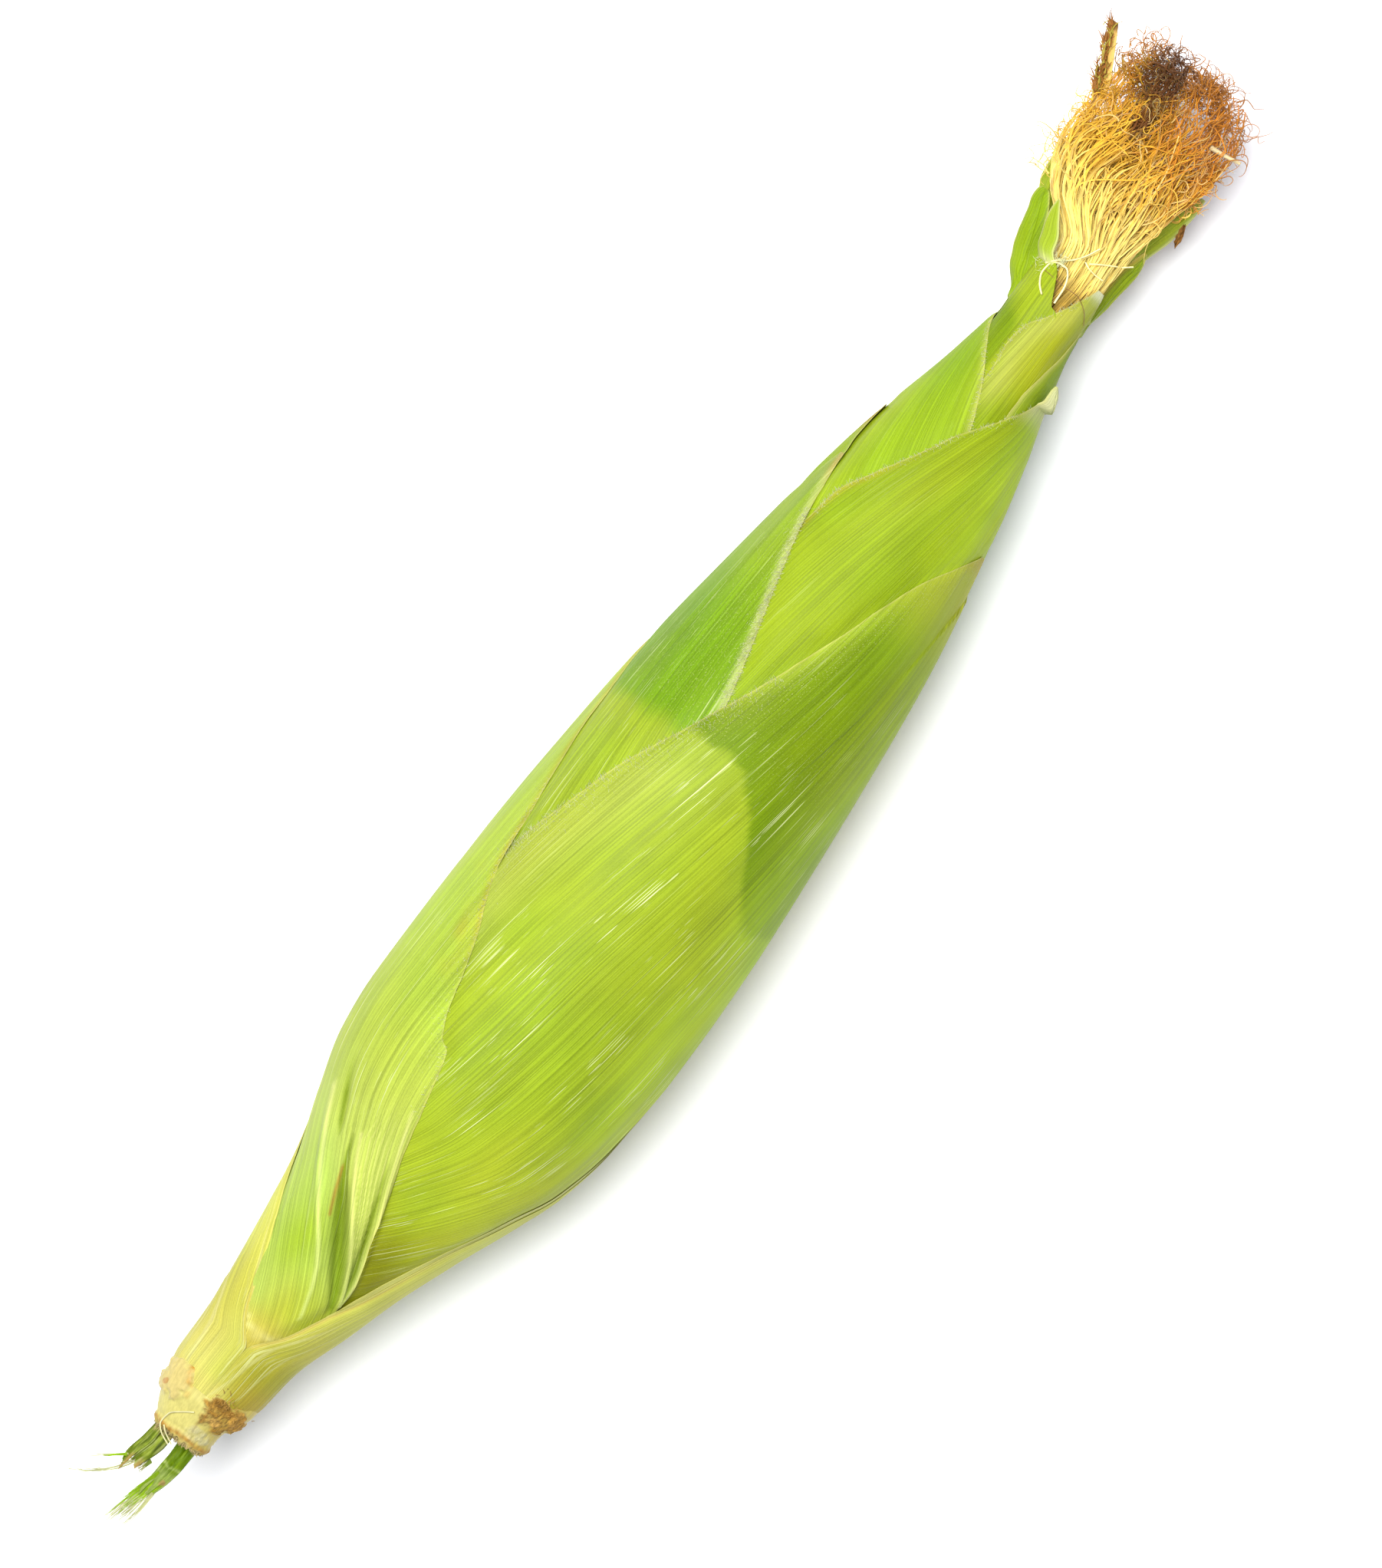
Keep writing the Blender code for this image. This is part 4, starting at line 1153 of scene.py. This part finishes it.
def shank(material):
    """The stalk's butt: the ring of the lowest leaf, a smooth swelling and two leaf scars."""
    sides = 200
    angle = np.arange(sides) * 360 / sides
    x = np.concatenate([np.arange(-126.8, -112, 0.22), np.arange(-112, -73, 3.0)])
    grid_x = np.broadcast_to(x[:, None], (len(x), sides))
    grid_a = np.broadcast_to(angle, grid_x.shape)
    turn = np.radians(grid_a)
    radius = smooth(OUTLINE, 2, grid_x)
    inside = ease(grid_x, -113.8, -111)
    depth = np.maximum(depth_under(LEAVES, grid_x, grid_a), (radius - 8.6) * inside)
    y = smooth(OUTLINE, 1, grid_x) + radius * np.cos(turn)
    up = ease(np.sin(turn), -0.5, -0.1)
    brown = spot(grid_x, y, (-117.9, 1.6), (3.9, 4.6)) * up
    pink = spot(grid_x, y, (-117.3, 13.4), (4.2, 3.5)) * up
    papery = spot(grid_x, y, (-123.6, 3.2), (1.9, 3.1), 0.7) * up
    wave = 0.25 * value_noise(grid_a / 18, 3, 81) + 0.12 * value_noise(grid_a / 6, 3, 80)
    ring = hump(grid_x + wave, -125.7, 0.62)
    groove = hump(grid_x + wave, -124.5, 0.4)
    rough = value_noise(grid_x / 1.0, grid_a / 7, 82) + 0.6 * value_noise(grid_x / 0.5, grid_a / 3.5, 83)
    out = 0.30 * ring - 0.15 * groove + 0.60 * brown + 0.75 * pink + 0.25 * papery
    out = out + rough * (0.26 * brown + 0.06 * pink + 0.12 * papery + 0.10 * ring + 0.02)
    out = out + 0.30 * value_noise(grid_x / 5, grid_a / 40, 84)
    end = ease(-grid_x, 126.1, 126.8)
    out = out - 0.8 * end + 0.4 * end * value_noise(0 * grid_x, grid_a / 4, 85)
    points = ear_point(grid_x, grid_a, depth - out * (1 - inside))
    points[..., 0] -= 0.5 * value_noise(grid_a / 3, 1, 86) * ease(-grid_x, 125.7, 126.8)
    streak = hump(y - 10.2 - 0.45 * (grid_x + 117), 0.0, 0.7) * ease(grid_x, -119.5, -117)
    line = hump(y, 4.6 + 0.3 * value_noise(grid_x / 2, 1, 87), 0.30) * hump(grid_x, -119.5, 3.2) * up
    c = layered(
        (0.475, 0.425, 0.125), grid_x.shape,
        ((0.430, 0.350, 0.070), ease(3.5 - y, -2, 3)),
        ((0.46, 0.42, 0.19), papery * (0.7 + 0.5 * rough)),
        ((0.48, 0.39, 0.13), pink),
        ((0.42, 0.20, 0.02), 0.8 * streak * up * (0.6 + 0.6 * rough)),
        ((0.40, 0.20, 0.05), 0.8 * spot(grid_x, y, (-118.6, 14.0), (0.9, 0.6)) * up),
        ((0.310, 0.165, 0.025), brown * (0.85 + 0.2 * rough)),
        ((0.42, 0.25, 0.06), 0.8 * spot(grid_x, y, (-119.3, 2.6), (1.4, 1.3)) * up),
        ((0.40, 0.22, 0.04), 0.8 * spot(grid_x, y, (-117.0, -1.2), (2.2, 1.8)) * up),
        ((0.19, 0.09, 0.012), 0.7 * spot(grid_x, y, (-115.8, 2.2), (1.5, 2.6)) * up),
        ((0.17, 0.085, 0.015), 0.8 * line),
        ((0.345, 0.180, 0.030), ring * (0.85 + 0.3 * rough)),
        ((0.36, 0.28, 0.10), end),
    )
    cork = np.clip(0.8 * brown + 0.16 * pink + 0.35 * papery + 0.6 * end + 0.35 * ring, 0, 1)
    return new_piece(
        "shank_butt", points.reshape(-1, 3), tube_faces(len(x), sides), material, "shank",
        c.reshape(-1, 3), None, {"cork": cork.ravel()},
    )


def broken_end(material):
    """Short tan fibres all round the broken end of the stalk, and a few on the scars."""
    rng = np.random.default_rng(21)
    strands = []
    for _ in range(520):
        turn = rng.uniform(0, 2 * math.pi)
        size = 5.7 * math.sqrt(rng.uniform(0.0, 1))
        start = (-126.3, 6.2 + size * math.cos(turn), 29.5 + size * math.sin(turn))
        heading = (-1, 0.3 * math.cos(turn) + rng.normal(0, 0.2), 0.3 * math.sin(turn))
        path = wander(start, heading, rng.uniform(0.3, 1.2), 0.10, rng, 6)
        radius = np.linspace(rng.uniform(0.12, 0.26), 0.05, 6)
        strands.append((path, radius, np.array((0.42, 0.33, 0.13)) * rng.uniform(0.45, 1.15)))
    for _ in range(70):
        x, y = rng.normal(-117.0, 1.7), rng.normal(1.2, 2.0)
        heading = (rng.normal(0.6, 0.7), rng.normal(0, 0.6), 0.3)
        path = wander(on_top(x, y, 0.3), heading, rng.uniform(0.5, 1.5), 0.15, rng, 6)
        colour = np.array((0.34, 0.19, 0.04)) * rng.uniform(0.6, 1.4)
        strands.append((path, np.linspace(0.09, 0.03, 6), colour))
    # two pale fibres of the upper strip that fell back over the ring
    for points in (
        [(-128.3, 6.9), (-127.2, 9.2), (-125.6, 10.4), (-123.4, 10.2), (-121.4, 8.4), (-120.0, 6.6)],
        [(-127.9, 6.4), (-126.7, 8.6), (-125.8, 9.6)],
    ):
        path = [on_top(max(x, -126), y, 0.5) + np.array((min(x + 126, 0), 0, 0)) for x, y in points]
        strands.append((through(path, 24), np.full(24, 0.13), np.array((0.62, 0.58, 0.30))))
    return thread_piece("shank_fibres", strands, material, "shank")


# ---------------------------------------------------------------- torn strips of leaf sheath

def torn_strip(name, stations, paint, seed, material):
    """A torn strip as a ribbed ribbon with a ragged end. Stations are (x, y, z, half width)."""
    w = np.linspace(-1, 1, 33)
    table = [(-row[0], *row[1:]) for row in stations]
    x = -np.arange(table[0][0], table[-1][0] - 0.01, 0.22)
    wide = smooth(table, 3, -x)[:, None]
    tooth = 0.9 * value_noise(w * 4.5, seed, 95) + 0.6 * value_noise(w * 11, seed, 96)
    tooth = tooth + 1.5 * hump(w, 0.55, 0.3)
    past = ease(-x, table[-1][0] - 3.5, table[-1][0])[:, None]
    grid_x = x[:, None] - past * tooth * 1.3
    face = math.radians(78)
    side = np.array((0, math.sin(face), -math.cos(face)))
    out = np.array((0, math.cos(face), math.sin(face)))
    ribs = 0.16 * value_noise(w * 7, x[:, None] / 9, seed + 1)
    ribs = ribs + 0.08 * value_noise(w * 16, x[:, None] / 6, seed)
    bow = 0.35 * wide * (1 - w**2) + ribs + 0.35 * value_noise(w * 1.3, x[:, None] / 2.6, seed + 4)
    centre = np.stack([0 * x, smooth(table, 1, -x), smooth(table, 2, -x)], axis=-1)[:, None]
    outer = centre + side * (w * wide)[..., None] + out * bow[..., None]
    outer[..., 0] = grid_x
    return shell_piece(
        name + "_ribbon", outer, outer - out * 0.45, material, name,
        paint(grid_x, w + 0 * grid_x), values={"cork": 0.30 + 0 * grid_x},
    )


def paint_upper_strip(x, w):
    """The upper strip's colour at x, and from -1 to 1 across it."""
    noise = value_noise(w * 5, x / 3.0, 101)
    fine = value_noise(w * 12, x / 5.0, 102)
    return layered(
        (0.085, 0.125, 0.002), x.shape,
        ((0.24, 0.30, 0.03), 0.8 * ease(noise, 0.1, 0.7)),
        ((0.36, 0.38, 0.12), 0.6 * ease(fine, 0.30, 0.8)),
        ((0.030, 0.045, 0.000), 0.85 * ease(-fine, 0.2, 0.7)),
        ((0.30, 0.20, 0.05), 0.9 * ease(-x, 133.2, 135.0) * ease(noise, -0.5, 0.3)),
        ((0.33, 0.26, 0.10), ease(x, -128.4, -127.2) * ease(fine, -0.5, 0.4)),
    )


def paint_lower_strip(x, w):
    """The lower strip's colour at x, and from -1 to 1 across it."""
    noise = value_noise(w * 4, x / 4.0, 103)
    fine = value_noise(w * 13, x / 7.0, 104)
    pale = hump(x + 0.35 * value_noise(w * 3, 1, 105), -132.3, 0.35) + 0.8 * ease(-x, 132.4, 134.0)
    return layered(
        (0.085, 0.150, 0.000), x.shape,
        ((0.155, 0.235, 0.004), 0.7 * ease(noise, 0.0, 0.8)),
        ((0.30, 0.37, 0.10), np.clip(pale, 0, 1) * (0.65 + 0.35 * fine)),
        ((0.30, 0.19, 0.06), 0.8 * spot(x, w * 2.0, (-135.8, -1.1), (0.9, 0.7))),
        ((0.30, 0.24, 0.09), ease(x, -128.0, -127.2) * ease(fine, -0.5, 0.4)),
    )


def strip_fibres(name, bundles, material, seed):
    """Fibres that go on past a torn strip: start, end, sideways spread, count, radius, colours."""
    rng = np.random.default_rng(seed)
    strands = []
    for start, end, spread_start, spread_end, sag, count, thick, root, tip in bundles:
        for _ in range(count):
            off = rng.uniform(-1, 1)
            a = np.array(start) + off * np.array(spread_start) + rng.normal(0, 0.08, 3)
            b = np.array(end) + off * np.array(spread_end) + rng.normal(0, 0.15, 3)
            b = a + (b - a) * rng.uniform(0.72, 1.0)
            t = np.linspace(0, 1, 22)[:, None]
            path = a + (b - a) * t + np.array(sag) * (t * (1 - t) * 4)
            path = path + 0.10 * np.cumsum(rng.normal(0, 0.35, (22, 3)), axis=0) * t
            radius = np.linspace(thick * rng.uniform(0.6, 1.2), 0.03, 22)
            fade = ease(t, *sorted(rng.uniform(0.0, 0.9, 2) + np.array((0.0, 0.1))))
            strands.append((path, radius, root + (tip - root) * fade))
    return thread_piece(name + "_fibres", strands, material, name)


FIBRE_WHITE = np.array((0.43, 0.44, 0.20))
FIBRE_GREEN = np.array((0.17, 0.28, 0.004))
# start, end, sideways spread at each, sag, count, radius, colour at the root, colour at the tip
UPPER_FIBRES = [
    ((-134.5, 10.4, 33.6), (-145.2, 20.8, 33.0), (0, 0.6, 0.2), (0.3, 0.4, 0.4), (-0.6, -0.9, 0.3), 9, 0.12,
     FIBRE_WHITE, FIBRE_WHITE),
    ((-134.5, 11.8, 33.6), (-139.6, 18.2, 33.4), (0, 0.3, 0.2), (0.2, 0.3, 0.2), (0, 0, 0.2), 5, 0.10,
     FIBRE_WHITE, FIBRE_WHITE),
    ((-134.9, 12.2, 33.7), (-137.8, 15.8, 33.9), (0, 0.1, 0), (0.1, 0.1, 0), (0, 0.1, 0.2), 3, 0.26,
     FIBRE_GREEN * 1.3, FIBRE_GREEN * 1.6),
    ((-132.5, 9.0, 33.4), (-136.2, 10.3, 33.3), (0.8, 1.6, 0), (0.6, 1.9, 0), (0, 0, 0.2), 34, 0.16,
     np.array((0.12, 0.17, 0.02)), np.array((0.34, 0.33, 0.14))),
]
LOWER_FIBRES = [
    ((-134.5, 3.9, 29.2), (-143.2, 6.6, 26.4), (0, 1.5, 0), (0, 1.5, 0), (0, 0, 0.3), 44, 0.24,
     FIBRE_GREEN, FIBRE_GREEN * 1.5),
    ((-136.0, 4.1, 28.8), (-149.3, 7.9, 24.8), (0, 1.4, 0), (0, 0.7, 0), (0, 0.3, 0.4), 34, 0.18,
     FIBRE_GREEN * 1.4, FIBRE_WHITE),
    ((-138.5, 4.0, 28.2), (-148.6, 5.4, 25.2), (0, 0.8, 0), (0, 1.0, 0), (0, -0.3, 0.3), 16, 0.14,
     FIBRE_WHITE, FIBRE_WHITE),
]
UPPER_STRIP = [
    (-126.8, 9.3, 32.6, 2.3), (-129.5, 9.5, 33.2, 2.4), (-132.5, 10.2, 33.6, 2.3),
    (-135.0, 10.9, 33.6, 1.9),
]
LOWER_STRIP = [
    (-126.8, 3.6, 29.9, 2.05), (-131.0, 3.7, 29.7, 2.0), (-135.3, 4.2, 29.0, 1.8), (-138.5, 4.9, 28.2, 1.4),
]

# ---------------------------------------------------------------- silk

# The tuft's cross-section along it: (x, centre y, centre z, half width across, half height).
SILK = [
    (140, 1.2, 24.4, 3.2, 3.2), (148, 1.3, 24.2, 5.2, 4.6), (153, 1.3, 24.1, 6.4, 5.6),
    (158, 1.0, 24.0, 6.4, 5.8), (165, 1.6, 23.8, 6.8, 5.8), (172, 5.0, 23.4, 10.4, 6.0),
    (180, 6.3, 22.9, 12.3, 6.8), (188, 5.4, 22.3, 12.9, 7.2), (196, 4.5, 21.8, 12.8, 7.4),
    (203, 4.4, 21.4, 11.2, 6.4), (212, 6.6, 21.0, 7.0, 5.0),
]
SILK_START = 147.0
SILK_BASE = (0.90, 0.71, 0.19)
SILK_GOLD = (0.76, 0.43, 0.035)
SILK_ORANGE = (0.58, 0.215, 0.018)
SILK_DARK = (0.17, 0.060, 0.012)
SILK_STRAW = (0.80, 0.58, 0.20)
SILK_LOCKS = 36
SILK_TO_A_LOCK = 21
SILK_RINGS = 31
GOLDEN_ANGLE = 2.39996       # spreads the locks evenly over the neck


def silk_colour(path, own, rng):
    """A thread's colour along it. own shifts where this thread turns golden, orange and dark."""
    x, y = path[:, 0], path[:, 1]
    dark = hump(x, 201.5, 7.5) * hump(y, 10.3, 4.6)
    dark = np.maximum(dark, 0.8 * hump(x, 192.0, 5.0) * hump(y, 8.4, 2.6))
    colour = layered(
        SILK_BASE, x.shape,
        (SILK_GOLD, ease(x + own * 4, 166, 186)),
        (SILK_ORANGE, ease(x + own * 6 - 0.5 * (y - 5), 182, 199)),
        (SILK_DARK, ease(dark + 0.16 * own, 0.30, 0.65)),
        (SILK_STRAW, 0.8 * ease(own, 0.9, 1.6) * (1 - ease(x, 196, 206))),
    )
    # painted shade: threads darker and browner near the neck's mouth, where they lie in shade
    deep = 0.50 + 0.50 * ease(x, 153, 164)
    return colour * deep[:, None] ** np.array((1.0, 1.3, 2.0)) * rng.uniform(0.66, 1.18)


def silk(material):
    """The threads, in locks that leave the neck together, spread, cross and end unevenly."""
    rng = np.random.default_rng(7)
    t = np.linspace(0, 1, SILK_RINGS)
    strands = []
    for lock in range(SILK_LOCKS):
        ring = math.sqrt((lock + 0.5) / SILK_LOCKS)
        turn = lock * GOLDEN_ANGLE
        a, b = ring * math.cos(turn), ring * math.sin(turn)
        far = rng.normal(196, 6)
        drift = rng.normal(0, 0.30, 2)
        swing = rng.uniform(0, 2 * math.pi, 2)
        weave = rng.uniform(4.5, 8.0)
        for _ in range(SILK_TO_A_LOCK):
            end = min(208.0 - 4.5 * abs(a), far + rng.normal(0, 5.5))
            x = SILK_START + (end - SILK_START) * t
            loose = ease(x, 154, 190)
            own = rng.normal(0, 0.075, 2)
            roam = rng.normal(0, 0.10, 2)[None] * np.sin(x / rng.uniform(4, 9) + swing[1])[:, None]
            stray = 1.0 + 5.0 * ease(rng.uniform(), 0.75, 1.0)
            aa = a + own[0] * (1 + stray * loose) + drift[0] * loose + roam[:, 0] * loose * stray
            bb = b + own[1] * (1 + stray * loose) + drift[1] * loose + roam[:, 1] * loose
            aa = aa + 0.20 * loose * np.sin(x / weave + swing[0])
            bb = bb + 0.16 * loose * np.sin(x / weave + swing[1])
            reach = np.maximum(np.hypot(aa, bb) / (0.98 + 0.14 * loose), 1)
            y = smooth(SILK, 1, x) + aa / reach * smooth(SILK, 3, x)
            z = smooth(SILK, 2, x) + bb / reach * smooth(SILK, 4, x)
            path = np.stack([x, y, z], axis=-1)
            path[:, 1] += (1 - loose) * 0.16 * np.sin(x / 1.9 + swing[0])
            curl = ease(x, 176, 198) * rng.uniform(0.1, 1.0)
            wave = rng.uniform(3.5, 9.0)
            for axis, size in ((0, 0.7), (1, 0.8), (2, 0.7)):
                phase = rng.uniform(0, 2 * math.pi)
                path[:, axis] += curl * size * np.sin(2 * math.pi * (x - SILK_START) / wave + phase)
                path[:, axis] += 0.14 * np.sin(2 * math.pi * (x - SILK_START) / 11 + phase)
            radius = rng.uniform(0.13, 0.20) * (1 - 0.42 * ease(t, 0.45, 1))
            strands.append((path, radius, silk_colour(path, rng.normal(0, 1), rng)))
    return thread_piece("silk", strands, material, "silk")


# Where the dry curls are: (x, y, z), spread along each, how many, how long, how tight, and how much
# further along the tuft their colour is taken from.
CURLS = [
    ((200.5, 10.4, 26.5), (4.0, 2.9, 2.2), 300, (5, 10), 0.30, 0.0),
    ((192.0, 8.2, 28.8), (3.4, 1.5, 0.8), 60, (4, 7), 0.30, 0.0),
    ((202.0, 16.0, 25.5), (3.0, 2.4, 2.0), 60, (4, 9), 0.28, 0.0),
    ((205.5, 2.6, 22.0), (2.4, 2.2, 3.0), 170, (4, 9), 0.28, 8.0),
    ((203.0, -3.0, 21.5), (2.6, 2.0, 3.0), 90, (4, 8), 0.28, 5.0),
    ((194.0, -7.0, 21.5), (6.0, 1.8, 3.0), 90, (4, 9), 0.24, -3.0),
    ((188.0, -7.0, 20.5), (4.0, 1.2, 2.6), 45, (4, 8), 0.20, -4.0),
    ((181.0, 18.6, 23.5), (5.5, 1.3, 2.5), 55, (4, 9), 0.22, -9.0),
    ((193.0, 16.5, 24.5), (5.0, 1.8, 2.5), 70, (4, 9), 0.26, 0.0),
    ((186.0, 4.0, 29.0), (8.0, 6.0, 0.9), 90, (5, 11), 0.16, -4.0),
]


def silk_curls(material):
    """The dry ends: tight curls in a dark clump, and loose ones round the edge."""
    rng = np.random.default_rng(8)
    strands = []
    for centre, size, count, length, bend, ahead in CURLS:
        for _ in range(count):
            start = np.array(centre) + np.clip(rng.normal(0, 1, 3), -1.4, 1.4) * np.array(size)
            start[0] = min(start[0], 206.5)
            outward = np.array((0.8, 0.16 * (start[1] - 5.0), 0.1)) + rng.normal(0, 0.7, 3)
            path = wander(start, outward, rng.uniform(*length), bend, rng, 20)
            path[:, 0] = np.minimum(path[:, 0], 210)
            colour = silk_colour(path + np.array((ahead * 0.4, 0, 0)), rng.normal(0.2, 1), rng)
            colour = colour * (1 - 0.30 * ease(path[:, :1], 188, 200))
            strands.append((path, np.linspace(rng.uniform(0.09, 0.16), 0.05, 20), colour))
    return thread_piece("silk_curls", strands, material, "silk")


# Single threads that lie on the neck: radius, and the places they pass, seen from above.
STRAY_THREADS = [
    (0.20, [(153, 4.35), (154.5, 5.85), (156.8, 6.9), (158.6, 6.75), (160, 5.1), (160, 3.6), (158.3, 2.1),
            (156, 1.5), (153, 1.35)]),
    (0.17, [(158.6, 7.4), (160.2, 5.9), (162, 3.6), (164.3, 1.8), (167, 0.5)]),
    (0.16, [(163.4, 0.4), (164.3, -0.9), (165.8, -3.2), (167.3, -5.4), (168.5, -6.9)]),
    (0.15, [(163.2, 1.2), (162.6, -0.2), (162.4, -1.9), (162.5, -3.6)]),
]
BROWN_HAIR = [(157.7, 10), (157.2, 5.9), (156.8, 1.4), (156.9, -1.2), (155.3, -4.4), (153.3, -5.9)]
PALE_STICK = [(196.3, -5.0), (196.6, -8.0), (197.2, -11.6)]


def on_silk(x, y, above):
    """A point on the neck or, past it, on the top of the silk."""
    x, y = np.asarray(x, float), np.asarray(y, float)
    half = smooth(SILK, 3, x)
    share = np.clip((y - smooth(SILK, 1, x)) / half, -0.98, 0.98)
    top = smooth(SILK, 2, x) + smooth(SILK, 4, x) * np.sqrt(1 - share**2)
    point = on_top(np.minimum(x, 163), y, above)
    point[..., 0] = x
    past = ease(x, 160, 163)
    point[..., 2] = np.where(past > 0, np.maximum(point[..., 2] - 8 * past, top + above), point[..., 2])
    point[..., 1] = y
    return point


def stray_threads(material):
    """Single threads that stray over the neck, a brown hair and a pale stick in the silk."""
    rng = np.random.default_rng(9)
    strands = []
    for radius, places in STRAY_THREADS:
        path = through([on_silk(x, y, 0.35) for x, y in places], 40)
        path[:, 2] += 0.15 * np.sin(np.linspace(0, 7, 40) + radius * 40)
        strands.append((path, np.full(40, radius), np.array((0.88, 0.78, 0.34)) * rng.uniform(0.85, 1.05)))
    path = through([on_silk(x, y, 0.3) for x, y in BROWN_HAIR], 40)
    strands.append((path, np.full(40, 0.06), np.array((0.20, 0.09, 0.03))))
    path = through([(x, y, 25.5) for x, y in PALE_STICK], 12)
    strands.append((path, np.linspace(0.55, 0.35, 12), np.array((0.62, 0.50, 0.26))))
    return thread_piece("silk_strays", strands, material, "silk", 6)

# ---------------------------------------------------------------- floor, light, camera

FLOOR_WHITE = 0.955
WORLD_COLOUR = (0.94, 0.97, 1.12, 1)
WORLD_STRENGTH = 0.52
LAMP_PLACE = (0.145, 0.49, 1.95)     # metres, like all the lengths below
LAMP_AIM = (0.03, 0, 0.02)
LAMP_SIZE = 1.20
LAMP_POWER = 66.0
CAMERA_DISTANCE = 1.5
CAMERA_PLACE = (0.0355, 0.0021, 0.028)
SEEN_HEIGHT = 0.3066
CAMERA_TURN = math.radians(53.3)


def lamp():
    """A large round light on the far side, high over the ear."""
    data = bpy.data.lights.new("key", "AREA")
    data.shape = "DISK"
    data.size = LAMP_SIZE
    data.energy = LAMP_POWER
    made = bpy.data.objects.new("key", data)
    bpy.context.scene.collection.objects.link(made)
    made.location = LAMP_PLACE
    aim = Vector(LAMP_AIM) - Vector(LAMP_PLACE)
    made.rotation_euler = aim.to_track_quat("-Z", "Y").to_euler()


def stage():
    """A white floor under a pale world, and a large soft light above the far side."""
    scene = bpy.context.scene
    scene.view_settings.view_transform = "Standard"
    scene.view_settings.look = "None"
    bpy.ops.mesh.primitive_circle_add(vertices=96, radius=4.0, fill_type="NGON", location=(0, 0, -0.0004))
    floor = bpy.context.object
    floor.name = "floor"
    t = Tree("floor")
    place = t.node("ShaderNodeTexCoord").outputs["Object"]
    patch = t.noise(place, (3, 3, 3))
    low, high = FLOOR_WHITE - 0.003, FLOOR_WHITE + 0.003
    colour = t.mix(patch, (low, low, low, 1), (high, high, high, 1))
    floor.data.materials.append(t.finish(colour, 0.9, Specular_IOR_Level=0.1))
    world = bpy.data.worlds.new("studio")
    scene.world = world
    world.use_nodes = True
    world.node_tree.nodes["Background"].inputs[0].default_value = WORLD_COLOUR
    world.node_tree.nodes["Background"].inputs[1].default_value = WORLD_STRENGTH
    lamp()


def look_from_above():
    """The camera, straight above, turned so that the ear lies from lower left to upper right."""
    data = bpy.data.cameras.new("camera")
    camera = bpy.data.objects.new("camera", data)
    bpy.context.scene.collection.objects.link(camera)
    data.sensor_fit = "AUTO"
    data.lens = data.sensor_width * CAMERA_DISTANCE / SEEN_HEIGHT
    right = Vector((math.cos(CAMERA_TURN), -math.sin(CAMERA_TURN), 0))
    up = Vector((math.sin(CAMERA_TURN), math.cos(CAMERA_TURN), 0))
    place = Matrix((right, up, Vector((0, 0, 1)))).transposed().to_4x4()
    place.translation = Vector(CAMERA_PLACE) + Vector((0, 0, CAMERA_DISTANCE))
    camera.matrix_world = place
    data.clip_end = 20
    bpy.context.scene.camera = camera


# ---------------------------------------------------------------- the whole scene

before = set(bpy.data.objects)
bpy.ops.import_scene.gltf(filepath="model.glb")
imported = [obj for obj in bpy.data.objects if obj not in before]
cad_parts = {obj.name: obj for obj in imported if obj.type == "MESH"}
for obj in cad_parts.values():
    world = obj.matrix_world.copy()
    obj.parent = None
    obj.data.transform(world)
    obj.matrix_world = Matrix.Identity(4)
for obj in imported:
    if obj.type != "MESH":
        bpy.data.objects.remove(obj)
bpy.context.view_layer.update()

stage()
look_from_above()
for number, leaf in enumerate(LEAVES):
    husk_leaf(leaf, LEAVES[number + 1:], number + 1, husk_material(leaf["name"], number + 1))
hair = thread_material("hair", 0.6, 0.1, 0.2)
for strip in HAIR_STRIPS:
    margin_hairs(*strip, hair)
skin = husk_material("inner_husk", 20)
inner_husk(skin)
rim_blade(skin)
ligule(hair)
bark = butt_material("butt")
brown_flake(bark)
dried_shreds(hair)
shank(bark)
silk_thread = thread_material("silk_thread", 0.38, 0.12, 0.45)
silk(silk_thread)
silk_curls(silk_thread)
stray_threads(silk_thread)
fibres = thread_material("fibre", 0.6, 0.15, 0.25)
broken_end(fibres)
strip_skin = butt_material("torn_sheath")
torn_strip("torn_sheath_upper", UPPER_STRIP, paint_upper_strip, 31, strip_skin)
strip_fibres("torn_sheath_upper", UPPER_FIBRES, fibres, 33)
torn_strip("torn_sheath_lower", LOWER_STRIP, paint_lower_strip, 32, strip_skin)
strip_fibres("torn_sheath_lower", LOWER_FIBRES, fibres, 34)
